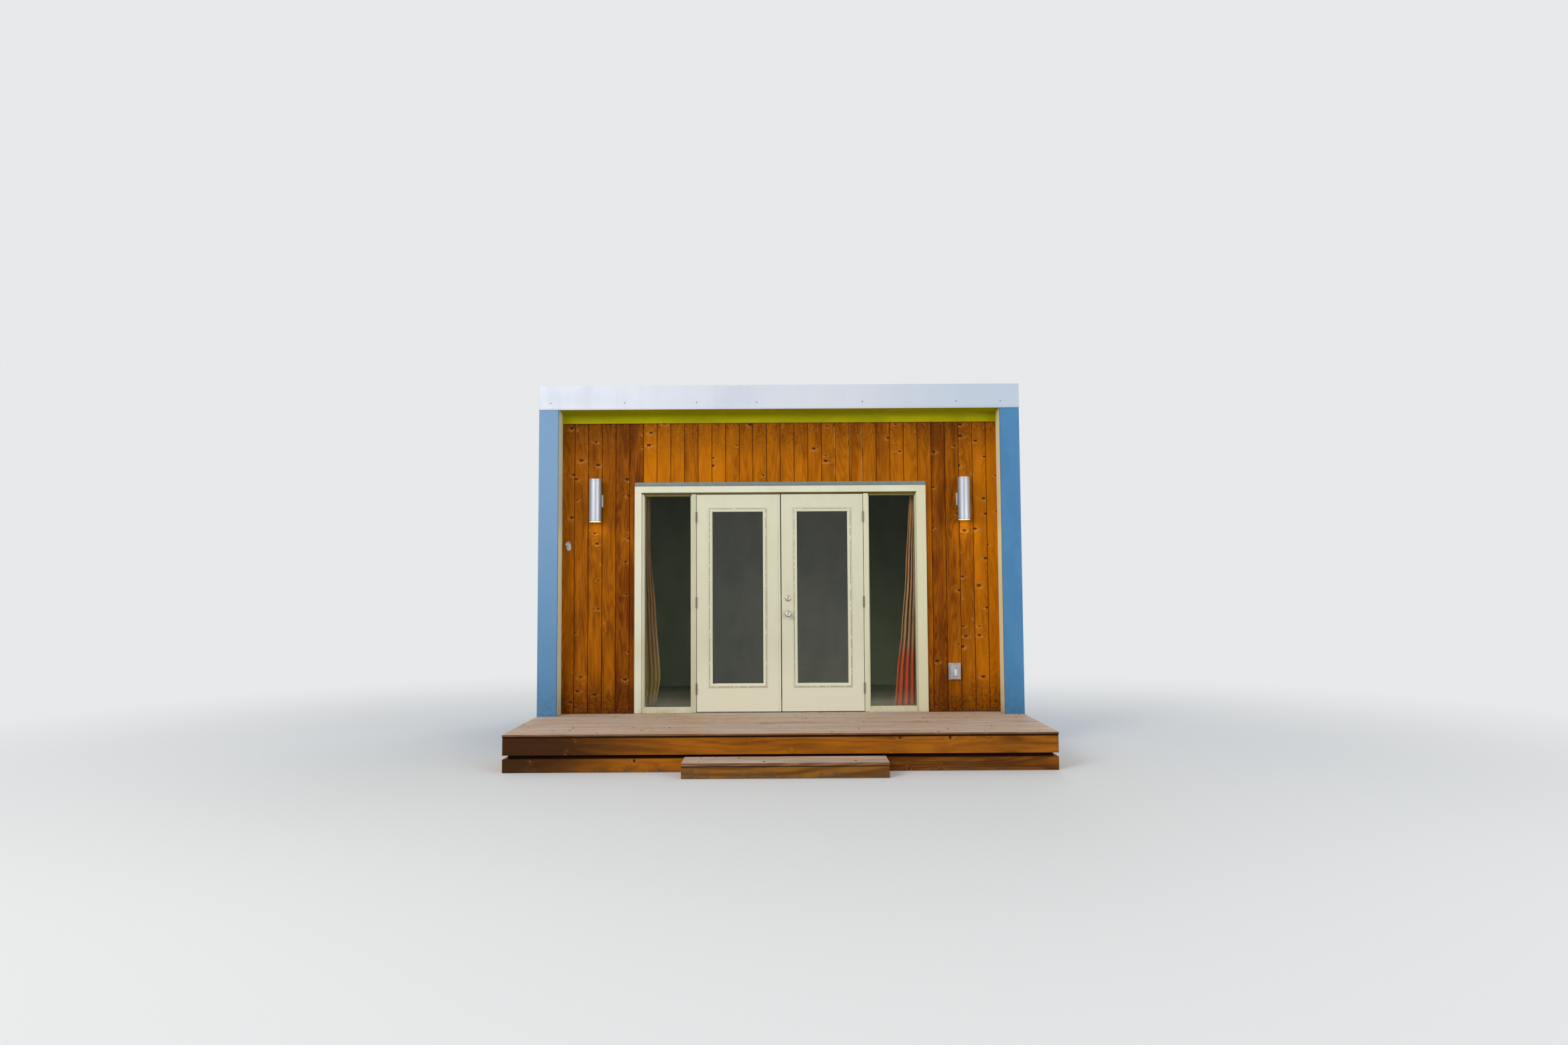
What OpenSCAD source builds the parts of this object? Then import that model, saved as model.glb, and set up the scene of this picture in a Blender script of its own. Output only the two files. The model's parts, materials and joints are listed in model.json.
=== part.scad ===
// Garden office pod: a timber room with a single-fall metal roof, an outward
// opening pair of glazed doors between two sidelights, and a deck with a step.
// Millimetres. X runs left to right, Y runs from the deck to the back wall.
// The origin is on the ground, in the middle of the doorway, in the plane of
// the cladding's face.

/* [Building] */
// Width over the side walls
pod_w = 4415; // [4100:5:5200]
// Depth from the front edge boards to the back of the building
pod_d = 3050; // [2400:10:4200]
// Height of the floor and the deck above the ground
floor_z = 300; // [270:5:420]
// Height of the porch ceiling above the floor, at its front edge
porch_h = 2800; // [2680:5:3300]
// Depth of the recess between the front edge boards and the cladding
porch_d = 200; // [160:5:420]
// Fall of the roof for each metre of depth
roof_fall = 83; // [20:1:140]

/* [Walls] */
// Thickness of the framed walls
wall_t = 140; // [90:5:200]
// Thickness of the painted siding on the sides and the back
siding_t = 12; // [9:1:20]
// Spacing of the grooves in the siding
siding_pitch = 203; // [120:1:400]
// How far the siding hangs below the floor frame
siding_drop = 20; // [5:1:60]
// Thickness of the painted boards that line the recess
return_t = 25; // [16:1:40]
// Thickness of the painted boards on the front edges
edge_t = 25; // [16:1:40]
// Thickness of the stained cladding
clad_t = 20; // [15:1:30]
// Width that one cladding board covers
clad_pitch = 128; // [90:1:200]
// Width of the groove between two cladding boards
groove_w = 6; // [3:1:12]
// Depth of the grooves in the cladding
groove_d = 5; // [2:1:8]
// Height of the frieze board under the porch ceiling
frieze_h = 89; // [60:1:160]

/* [Roof] */
// Thickness of the insulated roof
roof_t = 180; // [120:5:260]
// Thickness of the porch and room ceiling boards
ceiling_t = 12; // [9:1:20]
// How far the roof reaches past the back wall
eave_d = 60; // [20:5:200]
// Height of the ribs of the roof sheet
rib_h = 19; // [12:1:40]
// Spacing of the ribs of the roof sheet
rib_pitch = 229; // [150:1:400]
// Thickness of the roof sheet and the metal trims
metal_t = 2; // [1:0.5:4]
// How far the metal fascia hangs below the porch ceiling
fascia_lip = 6; // [2:1:30]
// Width of the flange that the metal trims lay over the roof
trim_flange = 60; // [30:5:120]
// How far the fascia's lower hem kicks out
hem_kick = 6; // [2:1:15]

/* [Doors] */
// Width of one door leaf
leaf_w = 762; // [600:2:820]
// Height of one door leaf
leaf_h = 2012; // [1900:2:2150]
// Thickness of a door leaf
leaf_t = 44; // [35:1:60]
// Gap under the doors
leaf_lift = 11; // [10:1:25]
// Gap at the hinge edge and the head
leaf_gap = 5; // [5:1:10]
// Gap between the meeting edges
meet_gap = 9; // [9:1:16]
// Width of the strip on the meeting edge of the left leaf
astragal_w = 17; // [12:1:30]
// How far the meeting strip stands in front of the leaf
astragal_d = 6; // [3:1:12]
// Width of the leaf beside the raised lite frame
lite_margin = 108.5; // [90:0.5:150]
// Height of the leaf above the lite frame
lite_drop = 124; // [100:1:170]
// Height of the leaf below the lite frame
lite_rise = 220; // [150:1:400]
// Face width of the lite frame's moulding
lite_face = 37; // [25:1:60]
// How far the moulding stands in front of the leaf
lite_raise = 11; // [8:1:20]
// How far the moulding laps onto the stiles and rails
lite_lap = 18; // [10:1:24]
// Thickness of the glazing
glass_t = 20; // [12:1:28]
// Height of the knob above the floor
knob_z = 908; // [850:1:1050]
// Height of the deadbolt above the knob
bolt_rise = 144; // [100:1:200]
// Distance of the knob from the leaf's free edge
backset = 60; // [50:1:80]

/* [Hinges] */
// Height of a hinge
hinge_h = 102; // [80:2:140]
// Distance of the outer hinges from the leaf's ends
hinge_inset = 212; // [150:1:300]
// Radius of the hinge barrel
barrel_r = 6.5; // [5.5:0.5:8]
// Radius of the hinge pin
pin_r = 3; // [2:0.5:3.5]
// Running clearance between the pin and the leaf's knuckles
pin_fit = 0.08; // [0.05:0.01:0.1]
// Thickness of the hinge plates
plate_t = 2; // [1:0.25:2.25]
// Depth of the hinge plates along the door's edge
plate_d = 34; // [20:1:40]

/* [Door frame] */
// Face width of the posts between the doors and the sidelights
mullion_w = 45; // [38:1:80]
// Clear width of a sidelight between its post and jamb
side_w = 443; // [250:1:560]
// Thickness of the jambs and the head
jamb_t = 32; // [25:1:50]
// Height of the sidelight sills
sill_h = 46; // [30:1:120]
// Face width of the glazing stops
stop_w = 8; // [6:1:20]
// Face width of the glazing stop under the head
stop_top = 17; // [8:1:40]
// Depth of one glazing stop
stop_d = 20; // [12:1:30]
// Set-back of the glazing stops from the frame's face
stop_back = 16; // [5:1:30]
// Height of the metal threshold
threshold_h = 5; // [3:1:6]

/* [Casing] */
// Thickness of the casing boards
casing_t = 22; // [16:1:30]
// Width of the left casing board
casing_left_w = 64; // [50:1:120]
// Width of the right casing board
casing_right_w = 89; // [60:1:120]
// Height of the head casing board
casing_head_h = 65; // [50:1:120]
// Part of the left jamb that the casing leaves in view
reveal_left = 20; // [4:1:26]
// Part of the right jamb that the casing leaves in view
reveal_right = 6; // [4:1:20]
// Part of the head that the casing leaves in view
reveal_top = 14; // [4:1:20]
// Height of the metal upstand over the head casing
drip_h = 33; // [15:1:60]

/* [Deck] */
// Depth of the deck in front of the edge boards
deck_d = 1170; // [700:10:2400]
// Number of board rows in front of the edge boards
deck_rows = 8; // [4:1:16]
// Thickness of the deck boards
deck_board_t = 25; // [20:1:40]
// Gap between two deck boards
deck_gap = 5; // [3:1:10]
// How far the boards stand over the rim
nosing = 12; // [0:1:30]
// Height of the joists and rims
joist_h = 140; // [120:1:190]
// Thickness of the joists, rims and skirts
joist_t = 38; // [30:1:50]
// Largest spacing of the joists
joist_pitch = 406; // [300:1:600]
// Width of the ground bearers
bearer_w = 90; // [60:1:150]
// Largest spacing of the ground bearers
bearer_pitch = 1000; // [600:10:1500]
// Height of the skirt boards below the rims
skirt_h = 105; // [60:1:115]

/* [Step] */
// Width of the step
step_w = 1595; // [900:5:2600]
// Depth of the step
step_d = 303; // [240:1:400]
// Height of the step
step_h = 120; // [100:1:180]
// Place of the step's middle to the right of the doorway's middle
step_x = 38; // [-300:1:300]
// Thickness of the step's treads
tread_t = 25; // [20:1:40]

/* [Fittings] */
// Diameter of the wall lights
light_d = 114; // [80:1:150]
// Height of the wall lights
light_h = 396; // [200:1:480]
// Distance of a light's axis from the cladding
light_out = 95; // [85:1:140]
// Distance of a light's axis from the recess's side
light_in = 325; // [120:5:500]
// Height of the lights' middle above the floor
light_z = 1967; // [1700:1:2200]
// Side of the square plate behind a light
light_plate = 119; // [90:1:150]
// Width of the outlet cover
outlet_w = 113; // [80:1:140]
// Height of the outlet cover
outlet_h = 153; // [110:1:180]
// Distance of the outlet's middle from the recess's right side
outlet_in = 421; // [80:1:550]
// Height of the outlet's middle above the floor
outlet_z = 370; // [250:1:600]
// Distance of the bottle opener from the recess's left side
opener_in = 62; // [40:1:300]
// Height of the bottle opener above the floor
opener_z = 1546; // [1200:1:1700]

/* [Hidden] */
$fn = 48;

// Building lines
half_w = pod_w / 2;
front_y = -porch_d;
back_y = front_y + pod_d;
wing_y = front_y + edge_t;
core_out = half_w - siding_t;
core_in = core_out - wall_t;
recess_x = core_in - return_t;
light_x = recess_x - light_in;
outlet_x = recess_x - outlet_in;
opener_x = recess_x - opener_in;
room_front = clad_t + wall_t;
core_back = back_y - siding_t;
room_back = core_back - wall_t;
frame_top = floor_z - deck_board_t;
frame_low = frame_top - joist_h;

// Roof planes, which fall to the back; sloping faces meet with a thin seam between them
seam = 0.2;
slope = roof_fall / 1000;
pitch = atan(slope);
soffit_z = floor_z + porch_h;
function under_z(y) = soffit_z + ceiling_t - (y - wing_y) * slope;
function panel_z(y) = under_z(y) + seam;
function top_z(y) = panel_z(y) + roof_t;
function sheet_z(y) = top_z(y) + 2 * seam + (rib_h + metal_t) / cos(pitch);
eave_y = back_y + eave_d;

// Door unit
clear_half = leaf_w + leaf_gap + (astragal_w + meet_gap) / 2;
post_out = clear_half + mullion_w;
jamb_in = post_out + side_w;
unit_half = jamb_in + jamb_t;
leaf_z = floor_z + leaf_lift;
head_z = leaf_z + leaf_h + leaf_gap;
unit_top = head_z + jamb_t;
hinge_x = clear_half - leaf_gap / 2;
hinge_y = -barrel_r - 0.5;
leaf_out = clear_half - leaf_gap;
leaf_in = leaf_out - leaf_w;
casing_low = floor_z + 2;
casing_z = head_z + reveal_top;
casing_top = casing_z + casing_head_h;
casing_left_x = -(jamb_in + reveal_left);
casing_right_x = jamb_in + reveal_right;
lite_top = leaf_z + leaf_h - lite_drop;
lite_low = leaf_z + lite_rise;
lite_w = leaf_w - 2 * lite_margin;
lite_h = lite_top - lite_low;
glass_y = (leaf_t - glass_t) / 2;
side_glass_y = stop_back + stop_d;
stop_y = leaf_t + leaf_gap;
rebate = leaf_gap + stop_w;
knuckles = 5;
knuckle_gap = 0.4;

// Deck
deck_y = front_y - deck_d;
rim_y = deck_y + nosing;
board_w = (deck_d - (deck_rows - 1) * deck_gap) / deck_rows;
step_y = deck_y - step_d;

blue = "#7fa3c3";
cream = "#dcd8bb";
olive = "#8d8620";
stain = "#a05a18";
stain_dark = "#7a4512";
weathered = "#a89078";
galvanised = "#dde2e8";
lining = "#cfc8b8";
timber = "#9a7a50";
silver = "#b9bcc2";
glass = "#55605c";

// A box given by its low and high corners
module block(low, high) {
  translate(low) cube(high - low);
}

// An outline in Y and Z, drawn across from x0 to x1
module across(x0, x1, outline) {
  translate([x0, 0, 0]) rotate([90, 0, 90]) linear_extrude(x1 - x0) polygon(outline);
}

// A piece and its mirror image on the other side
module both_sides() {
  children();
  mirror([1, 0, 0]) children();
}

// A slab between y0 and y1 that stands on z0 and is cut by the roof panel's underside
module under_roof(x0, x1, y0, y1, z0) {
  across(x0, x1, [[y0, z0], [y1, z0], [y1, under_z(y1)], [y0, under_z(y0)]]);
}

// Floor frame
module bearer(y, x_end) {
  block([-x_end, y, 0], [x_end, y + bearer_w, frame_low]);
}

module ground_bearers() {
  rear_span = core_back - bearer_w / 2;
  gaps = ceil(rear_span / bearer_pitch);
  deck_span = front_y - bearer_w - (rim_y + joist_t);
  color(timber) {
    for (i = [0 : gaps]) bearer(-bearer_w / 2 + i * (rear_span - bearer_w / 2) / gaps, core_out);
    for (i = [0 : 1]) bearer(rim_y + joist_t + i * deck_span, half_w - joist_t);
  }
}

// Joists between x = -reach and x = reach, spaced evenly
module joists(reach, y0, y1) {
  bays = ceil((2 * reach - joist_t) / joist_pitch);
  gap = (2 * reach - joist_t) / bays;
  for (i = [0 : bays])
    block([-reach + i * gap, y0, frame_low], [-reach + i * gap + joist_t, y1, frame_top]);
}

module floor_rims() {
  color(timber) for (y = [wing_y, core_back - joist_t])
    block([-core_out, y, frame_low], [core_out, y + joist_t, frame_top]);
}

module floor_joists() {
  color(timber) joists(core_out, wing_y + joist_t, core_back - joist_t);
}

module floor_boards() {
  color("#6f665c") translate([0, 0, frame_top]) linear_extrude(deck_board_t) polygon([
    [-unit_half, 0], [unit_half, 0], [unit_half, room_front], [core_in, room_front],
    [core_in, room_back], [-core_in, room_back], [-core_in, room_front], [-unit_half, room_front]
  ]);
}

// Walls
module side_walls() {
  color(lining) both_sides() under_roof(core_in, core_out, wing_y, core_back, frame_top);
}

module back_wall() {
  color(lining) under_roof(-core_in, core_in, room_back, core_back, frame_top);
}

module front_wall_piers() {
  color(lining) both_sides() under_roof(unit_half, core_in, clad_t, room_front, frame_top);
}

module front_wall_header() {
  color(lining) under_roof(-unit_half, unit_half, clad_t, room_front, unit_top);
}

// Painted siding with upright grooves
module side_siding() {
  count = floor((back_y - wing_y) / siding_pitch);
  color(blue) both_sides() difference() {
    under_roof(core_out, half_w, wing_y, back_y, frame_low - siding_drop);
    for (i = [1 : count])
      translate([half_w, wing_y + i * siding_pitch, frame_low - siding_drop - 1]) rotate(90)
        groove(soffit_z, groove_w, siding_t / 3);
  }
}

module back_siding() {
  count = floor(core_out / siding_pitch);
  color(blue) difference() {
    under_roof(-core_out, core_out, core_back, back_y, frame_low - siding_drop);
    for (i = [-count : count])
      translate([i * siding_pitch, back_y, frame_low - siding_drop - 1]) rotate(180)
        groove(soffit_z, groove_w, siding_t / 3);
  }
}

// A vee cut that opens towards -Y and runs up from the origin
module groove(height, width, depth) {
  linear_extrude(height) polygon([[-width / 2, -0.01], [width / 2, -0.01], [0, depth]]);
}

module front_edge_boards() {
  color(blue) both_sides()
    block([recess_x, front_y, frame_low - siding_drop], [half_w, wing_y, soffit_z]);
}

module recess_boards() {
  color(cream) both_sides() under_roof(recess_x, core_in, wing_y, clad_t, frame_top);
}

// Stained cladding: one groove at each board joint, counted from the middle line
module cladding(x0, x1, z0) {
  top = soffit_z - (clad_t - wing_y) * slope;
  difference() {
    block([x0, 0, z0], [x1, clad_t, top]);
    for (i = [ceil(x0 / clad_pitch) : floor(x1 / clad_pitch)])
      if (i * clad_pitch - x0 > groove_w && x1 - i * clad_pitch > groove_w)
        translate([i * clad_pitch, 0, z0 - 1]) groove(top - z0 + 2, groove_w, groove_d);
  }
}

module cladding_beside_doors() {
  color(stain) both_sides() cladding(unit_half, recess_x, floor_z + deck_gap);
}

module cladding_over_doors() {
  color(stain) cladding(-unit_half, unit_half, unit_top);
}

module frieze_board() {
  top = soffit_z - seam - (-casing_t - wing_y) * slope;
  back_top = soffit_z - seam + wing_y * slope;
  low = back_top - frieze_h;
  color(olive) across(-recess_x, recess_x,
    [[-casing_t, low], [0, low], [0, back_top], [-casing_t, top]]);
}

// A panel that hangs under the roof panel from y0 to y1
module ceiling_panel(reach, y0, y1) {
  across(-reach, reach, [
    [y0, under_z(y0) - ceiling_t], [y1, under_z(y1) - ceiling_t], [y1, under_z(y1)], [y0, under_z(y0)]
  ]);
}

module porch_ceiling() { color(olive) ceiling_panel(recess_x, wing_y, clad_t); }
module room_ceiling() { color(lining) ceiling_panel(core_in, room_front, room_back); }

// Roof
module roof_panel() {
  color(lining) across(-half_w, half_w, [
    [wing_y, panel_z(wing_y)], [eave_y, panel_z(eave_y)], [eave_y, top_z(eave_y)], [wing_y, top_z(wing_y)]
  ]);
}

module sub_fascia() {
  color(timber) across(-half_w, half_w, [
    [front_y, soffit_z], [wing_y, soffit_z], [wing_y, top_z(wing_y)], [front_y, top_z(front_y)]
  ]);
}

// Points of one folded rib, x from its middle, at height z0 over the pan
function rib(x, z0, wide) = [
  [x - rib_h - wide, z0], [x - rib_h / 2 - wide, z0 + rib_h],
  [x + rib_h / 2 + wide, z0 + rib_h], [x + rib_h + wide, z0]
];

module roof_sheet() {
  ribs = floor((half_w - 2 * rib_h) / rib_pitch);
  length = (eave_y - front_y) / cos(pitch);
  upper = [for (i = [-ribs : ribs]) each rib(i * rib_pitch, metal_t, metal_t)];
  lower = [for (i = [ribs : -1 : -ribs]) each [for (j = [3 : -1 : 0]) rib(i * rib_pitch, 0, 0)[j]]];
  outline = concat([[-half_w, 0], [-half_w, metal_t]], upper, [[half_w, metal_t], [half_w, 0]], lower);
  color(galvanised) translate([0, front_y, top_z(front_y) + seam]) rotate([-pitch, 0, 0])
    rotate([-90, 0, 0]) mirror([0, 1, 0]) linear_extrude(length) polygon(outline);
}

// Folded metal: a face with a kicked-out hem and a flange over the ribs
module front_fascia() {
  face = front_y - metal_t;
  low = soffit_z - fascia_lip;
  flange = front_y + trim_flange;
  color(galvanised) across(-half_w, half_w, [
    [front_y, low + hem_kick], [front_y, sheet_z(front_y)], [flange, sheet_z(flange)],
    [flange, sheet_z(flange) + metal_t], [face, sheet_z(face) + metal_t],
    [face, low + hem_kick], [face - hem_kick, low], [face - hem_kick + metal_t, low]
  ]);
}

module side_fascia() {
  face = front_y - metal_t;
  low = soffit_z - fascia_lip;
  drop = low - (sheet_z(front_y) + metal_t);
  flange = front_y + trim_flange;
  across(half_w, half_w + metal_t, [
    [face, low], [eave_y, sheet_z(eave_y) + metal_t + drop], [eave_y, sheet_z(eave_y) + metal_t],
    [face, sheet_z(face) + metal_t]
  ]);
  across(half_w - trim_flange, half_w + metal_t, [
    [flange, sheet_z(flange)], [eave_y, sheet_z(eave_y)], [eave_y, sheet_z(eave_y) + metal_t],
    [flange, sheet_z(flange) + metal_t]
  ]);
}

module side_fascias() { color(galvanised) both_sides() side_fascia(); }

module back_fascia() {
  color(galvanised) across(-half_w, half_w, [
    [eave_y, under_z(eave_y) - fascia_lip], [eave_y + metal_t, under_z(eave_y) - fascia_lip],
    [eave_y + metal_t, top_z(eave_y)], [eave_y, top_z(eave_y)]
  ]);
}

// Door frame with fixed sidelights
module frame_head() {
  color(cream) {
    block([-unit_half, 0, head_z], [unit_half, room_front, unit_top]);
    block([-clear_half + rebate, stop_y, head_z - rebate], [clear_half - rebate, room_front, head_z]);
  }
}

module frame_jambs() {
  color(cream) both_sides() block([jamb_in, 0, floor_z], [unit_half, room_front, head_z]);
}

// Posts with a rebate that the doors close into from the front
module frame_posts() {
  low = floor_z + threshold_h;
  color(cream) both_sides() translate([0, 0, low]) linear_extrude(head_z - low) polygon([
    [clear_half, 0], [post_out, 0], [post_out, room_front], [clear_half - rebate, room_front],
    [clear_half - rebate, stop_y], [clear_half, stop_y]
  ]);
}

module sidelight_sills() {
  fall = sill_h / 8;
  color(cream) both_sides() across(post_out, jamb_in, [
    [0, floor_z], [room_front, floor_z], [room_front, floor_z + sill_h],
    [stop_back, floor_z + sill_h], [0, floor_z + sill_h - fall]
  ]);
}

// A rectangular ring in X and Z between two depths
module ring(x0, x1, z0, z1, face, face_top, y0, y1) {
  difference() {
    block([x0, y0, z0], [x1, y1, z1]);
    block([x0 + face, y0 - 1, z0 + face], [x1 - face, y1 + 1, z1 - face_top]);
  }
}

module sidelight_stops() {
  low = floor_z + sill_h;
  color(cream) both_sides() for (y = [stop_back, side_glass_y + glass_t])
    ring(post_out, jamb_in, low, head_z, stop_w, stop_top, y, y + stop_d);
}

module sidelight_glass() {
  color(glass) both_sides()
    block([post_out, side_glass_y, floor_z + sill_h], [jamb_in, side_glass_y + glass_t, head_z]);
}

module threshold() {
  color(silver) block([-post_out, 0, floor_z], [post_out, room_front, floor_z + threshold_h]);
}

// Casing boards
module casing_sides() {
  color(cream) for (x = [casing_left_x - casing_left_w, casing_right_x])
    block([x, -casing_t, casing_low], [x + (x < 0 ? casing_left_w : casing_right_w), 0, casing_z]);
}

module casing_head() {
  color(cream) block([casing_left_x - casing_left_w, -casing_t, casing_z],
    [casing_right_x + casing_right_w, 0, casing_top]);
}

module drip_cap() {
  lip = -casing_t - metal_t;
  turn = 3 * metal_t;
  color("#9fb4c4") across(casing_left_x - casing_left_w, casing_right_x + casing_right_w, [
    [0, casing_top], [0, casing_top + drip_h], [-metal_t, casing_top + drip_h],
    [-metal_t, casing_top + turn], [lip, casing_top + metal_t], [lip, casing_top - turn],
    [-casing_t, casing_top - turn], [-casing_t, casing_top]
  ]);
}

// Butt hinges: the frame carries the pin and the odd knuckles, the leaf the even ones
hinge_heights = [leaf_z + hinge_inset, leaf_z + leaf_h / 2, leaf_z + leaf_h - hinge_inset];
knuckle_h = (hinge_h - (knuckles - 1) * knuckle_gap) / knuckles;

// The tab that joins knuckle i to its plate, x0 to x1 beside the gap's middle
module hinge_tab(i, x0, x1) {
  z = i * (knuckle_h + knuckle_gap);
  block([x0, -barrel_r / 2, z], [x1, -hinge_y, z + knuckle_h]);
}

module frame_hinge() {
  cylinder(r = pin_r, h = hinge_h);
  for (i = [0 : 2 : knuckles - 1]) {
    translate([0, 0, i * (knuckle_h + knuckle_gap)]) cylinder(r = barrel_r, h = knuckle_h);
    hinge_tab(i, leaf_gap / 2 - plate_t, leaf_gap / 2);
  }
  block([leaf_gap / 2 - plate_t, -hinge_y, 0], [leaf_gap / 2, -hinge_y + plate_d, hinge_h]);
}

module leaf_hinge() {
  difference() {
    union() {
      for (i = [1 : 2 : knuckles - 2]) {
        translate([0, 0, i * (knuckle_h + knuckle_gap)]) cylinder(r = barrel_r, h = knuckle_h);
        hinge_tab(i, -leaf_gap / 2, -leaf_gap / 2 + plate_t);
      }
      block([-leaf_gap / 2, -hinge_y, 0], [-leaf_gap / 2 + plate_t, -hinge_y + plate_d, hinge_h]);
    }
    translate([0, 0, -1]) cylinder(r = pin_r + pin_fit, h = hinge_h + 2);
  }
}

// Three hinges on the right post, drawn at their pins
module hinge_row() {
  for (z = hinge_heights) translate([hinge_x, hinge_y, z - hinge_h / 2]) children();
}

module frame_hinges() { color(silver) both_sides() hinge_row() frame_hinge(); }
module right_door_hinges() { color(silver) hinge_row() leaf_hinge(); }
module left_door_hinges() { color(silver) mirror([1, 0, 0]) hinge_row() leaf_hinge(); }

// Door leaves, drawn on the right
stile_w = lite_margin + lite_lap;

module door_stiles() {
  for (x = [leaf_in, leaf_out - stile_w])
    block([x, 0, leaf_z], [x + stile_w, leaf_t, leaf_z + leaf_h]);
}

module door_rails() {
  for (z = [[leaf_z, lite_low + lite_lap], [lite_top - lite_lap, leaf_z + leaf_h]])
    block([leaf_in + stile_w, 0, z[0]], [leaf_out - stile_w, leaf_t, z[1]]);
}

module door_glass() {
  block([leaf_in + stile_w, glass_y, lite_low + lite_lap],
    [leaf_out - stile_w, glass_y + glass_t, lite_top - lite_lap]);
}

// One bar of the moulding along X, mitred at both ends, its back on z = 0
module moulded_bar(length) {
  half = lite_raise / 2;
  intersection() {
    rotate([90, 0, 90]) linear_extrude(length) polygon([
      [0, 0], [0, half], [half, lite_raise], [lite_lap, lite_raise], [lite_face, half], [lite_face, -glass_y],
      [lite_lap, -glass_y], [lite_lap, 0]
    ]);
    translate([0, 0, -leaf_t]) linear_extrude(2 * leaf_t)
      polygon([[0, 0], [length, 0], [length - lite_face, lite_face], [lite_face, lite_face]]);
  }
}

// The raised moulding round the glass, seen from the front, its low corner at the origin
module lite_frame() {
  for (turn = [0, 1]) translate([turn * lite_w, turn * lite_h, 0]) rotate(turn * 180) {
    moulded_bar(lite_w);
    translate([0, lite_h, 0]) rotate(-90) moulded_bar(lite_h);
  }
}

module door_lite_frames() {
  x = leaf_in + lite_margin;
  translate([x, 0, lite_low]) rotate([90, 0, 0]) lite_frame();
  translate([x, leaf_t, lite_top]) rotate([-90, 0, 0]) lite_frame();
}

module left_door_stiles() { color(cream) mirror([1, 0, 0]) door_stiles(); }
module left_door_rails() { color(cream) mirror([1, 0, 0]) door_rails(); }
module left_door_lite_frames() { color(cream) mirror([1, 0, 0]) door_lite_frames(); }
module left_door_glass() { color(glass) mirror([1, 0, 0]) door_glass(); }
module right_door_stiles() { color(cream) door_stiles(); }
module right_door_rails() { color(cream) door_rails(); }
module right_door_lite_frames() { color(cream) door_lite_frames(); }
module right_door_glass() { color(glass) door_glass(); }

module left_door_astragal() {
  color(cream) block([-leaf_in, -astragal_d, leaf_z],
    [-leaf_in + astragal_w, leaf_t - astragal_d, leaf_z + leaf_h]);
}

// A turned knob on a rose, its back on z = 0, standing up to z = knob_out
module knob() {
  rotate_extrude() polygon([
    [0, 0], [31, 0], [31, 4], [26, 8], [13, 10], [11, 20], [13, 30], [24, 36], [30, 44], [31, 52], [27, 60],
    [18, 65], [0, 66]
  ]);
}

// A deadbolt's turned cylinder on its rose
module bolt_face() {
  rotate_extrude() polygon([[0, 0], [29, 0], [29, 4], [25, 12], [17, 14], [16, 20], [0, 20]]);
}

module bolt_turn() {
  cylinder(r = 27, h = 6);
  translate([-4, -16, 6]) cube([8, 32, 16]);
}

module right_door_locks() {
  x = leaf_in + backset;
  color(silver) {
    translate([x, 0, floor_z + knob_z]) rotate([90, 0, 0]) knob();
    translate([x, leaf_t, floor_z + knob_z]) rotate([-90, 0, 0]) knob();
    translate([x, 0, floor_z + knob_z + bolt_rise]) rotate([90, 0, 0]) bolt_face();
    translate([x, leaf_t, floor_z + knob_z + bolt_rise]) rotate([-90, 0, 0]) bolt_turn();
  }
}

// Curtains: gathered cloth that hangs from the header's inner face
curtain_t = 40;
curtain_gap = 0.3;
curtain_lap = 40;
curtain_lift = 15;
curtain_top = unit_top + curtain_lap;
curtain_low = floor_z + curtain_lift;

// Edges of a curtain from its hem to its top: share of its height, share of the sidelight's width
module curtain(edges) {
  span = curtain_top - curtain_low;
  outer = jamb_in + jamb_t;
  translate([0, room_front + curtain_gap + curtain_t, 0]) rotate([90, 0, 0]) linear_extrude(curtain_t)
    polygon(concat([[outer, curtain_low]],
      [for (e = edges) [outer - e[1] * side_w, curtain_low + e[0] * span]],
      [[outer, curtain_top]]));
}

module curtains() {
  color("#a4765a") {
    mirror([1, 0, 0]) curtain([[0, 0.33], [0.1, 0.4], [0.3, 0.34], [0.6, 0.25], [1, 0.17]]);
    curtain([[0, 0.53], [0.15, 0.47], [0.35, 0.36], [0.6, 0.26], [1, 0.13]]);
  }
}

// Deck
module deck_row(y, width, reach) {
  block([-reach, y, frame_top], [reach, y + width, floor_z]);
}

module deck_boards() {
  pitch_y = board_w + deck_gap;
  recess_rows = ceil((porch_d - 2 * deck_gap) / pitch_y);
  color(weathered) {
    for (i = [0 : deck_rows - 1]) deck_row(deck_y + i * pitch_y, board_w, half_w);
    for (i = [0 : recess_rows - 1])
      deck_row(front_y + deck_gap + i * pitch_y, min(board_w, porch_d - 2 * deck_gap - i * pitch_y),
        recess_x - deck_gap);
  }
}

// Rims above the open slot and skirts below it
rim_levels = [[0, skirt_h], [frame_low, frame_top]];

module deck_front_rims() {
  color(stain) for (z = rim_levels)
    block([-half_w, rim_y, z[0]], [half_w, rim_y + joist_t, z[1]]);
}

module deck_side_rims() {
  color(stain) both_sides() for (z = rim_levels)
    block([half_w - joist_t, rim_y + joist_t, z[0]], [half_w, front_y, z[1]]);
}

module deck_joists() {
  color(timber) joists(half_w - 2 * joist_t, rim_y + joist_t, front_y);
}

module step_treads() {
  tread = (step_d - deck_gap) / 2;
  color(weathered) for (i = [0, 1])
    translate([step_x, step_y + i * (tread + deck_gap), step_h - tread_t])
      block([-step_w / 2, 0, 0], [step_w / 2, tread, tread_t]);
}

module step_riser() {
  riser_y = step_y + nosing;
  color(stain_dark) translate([step_x - step_w / 2, riser_y, 0])
    block([0, 0, 0], [step_w, joist_t, step_h - tread_t]);
}

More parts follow.
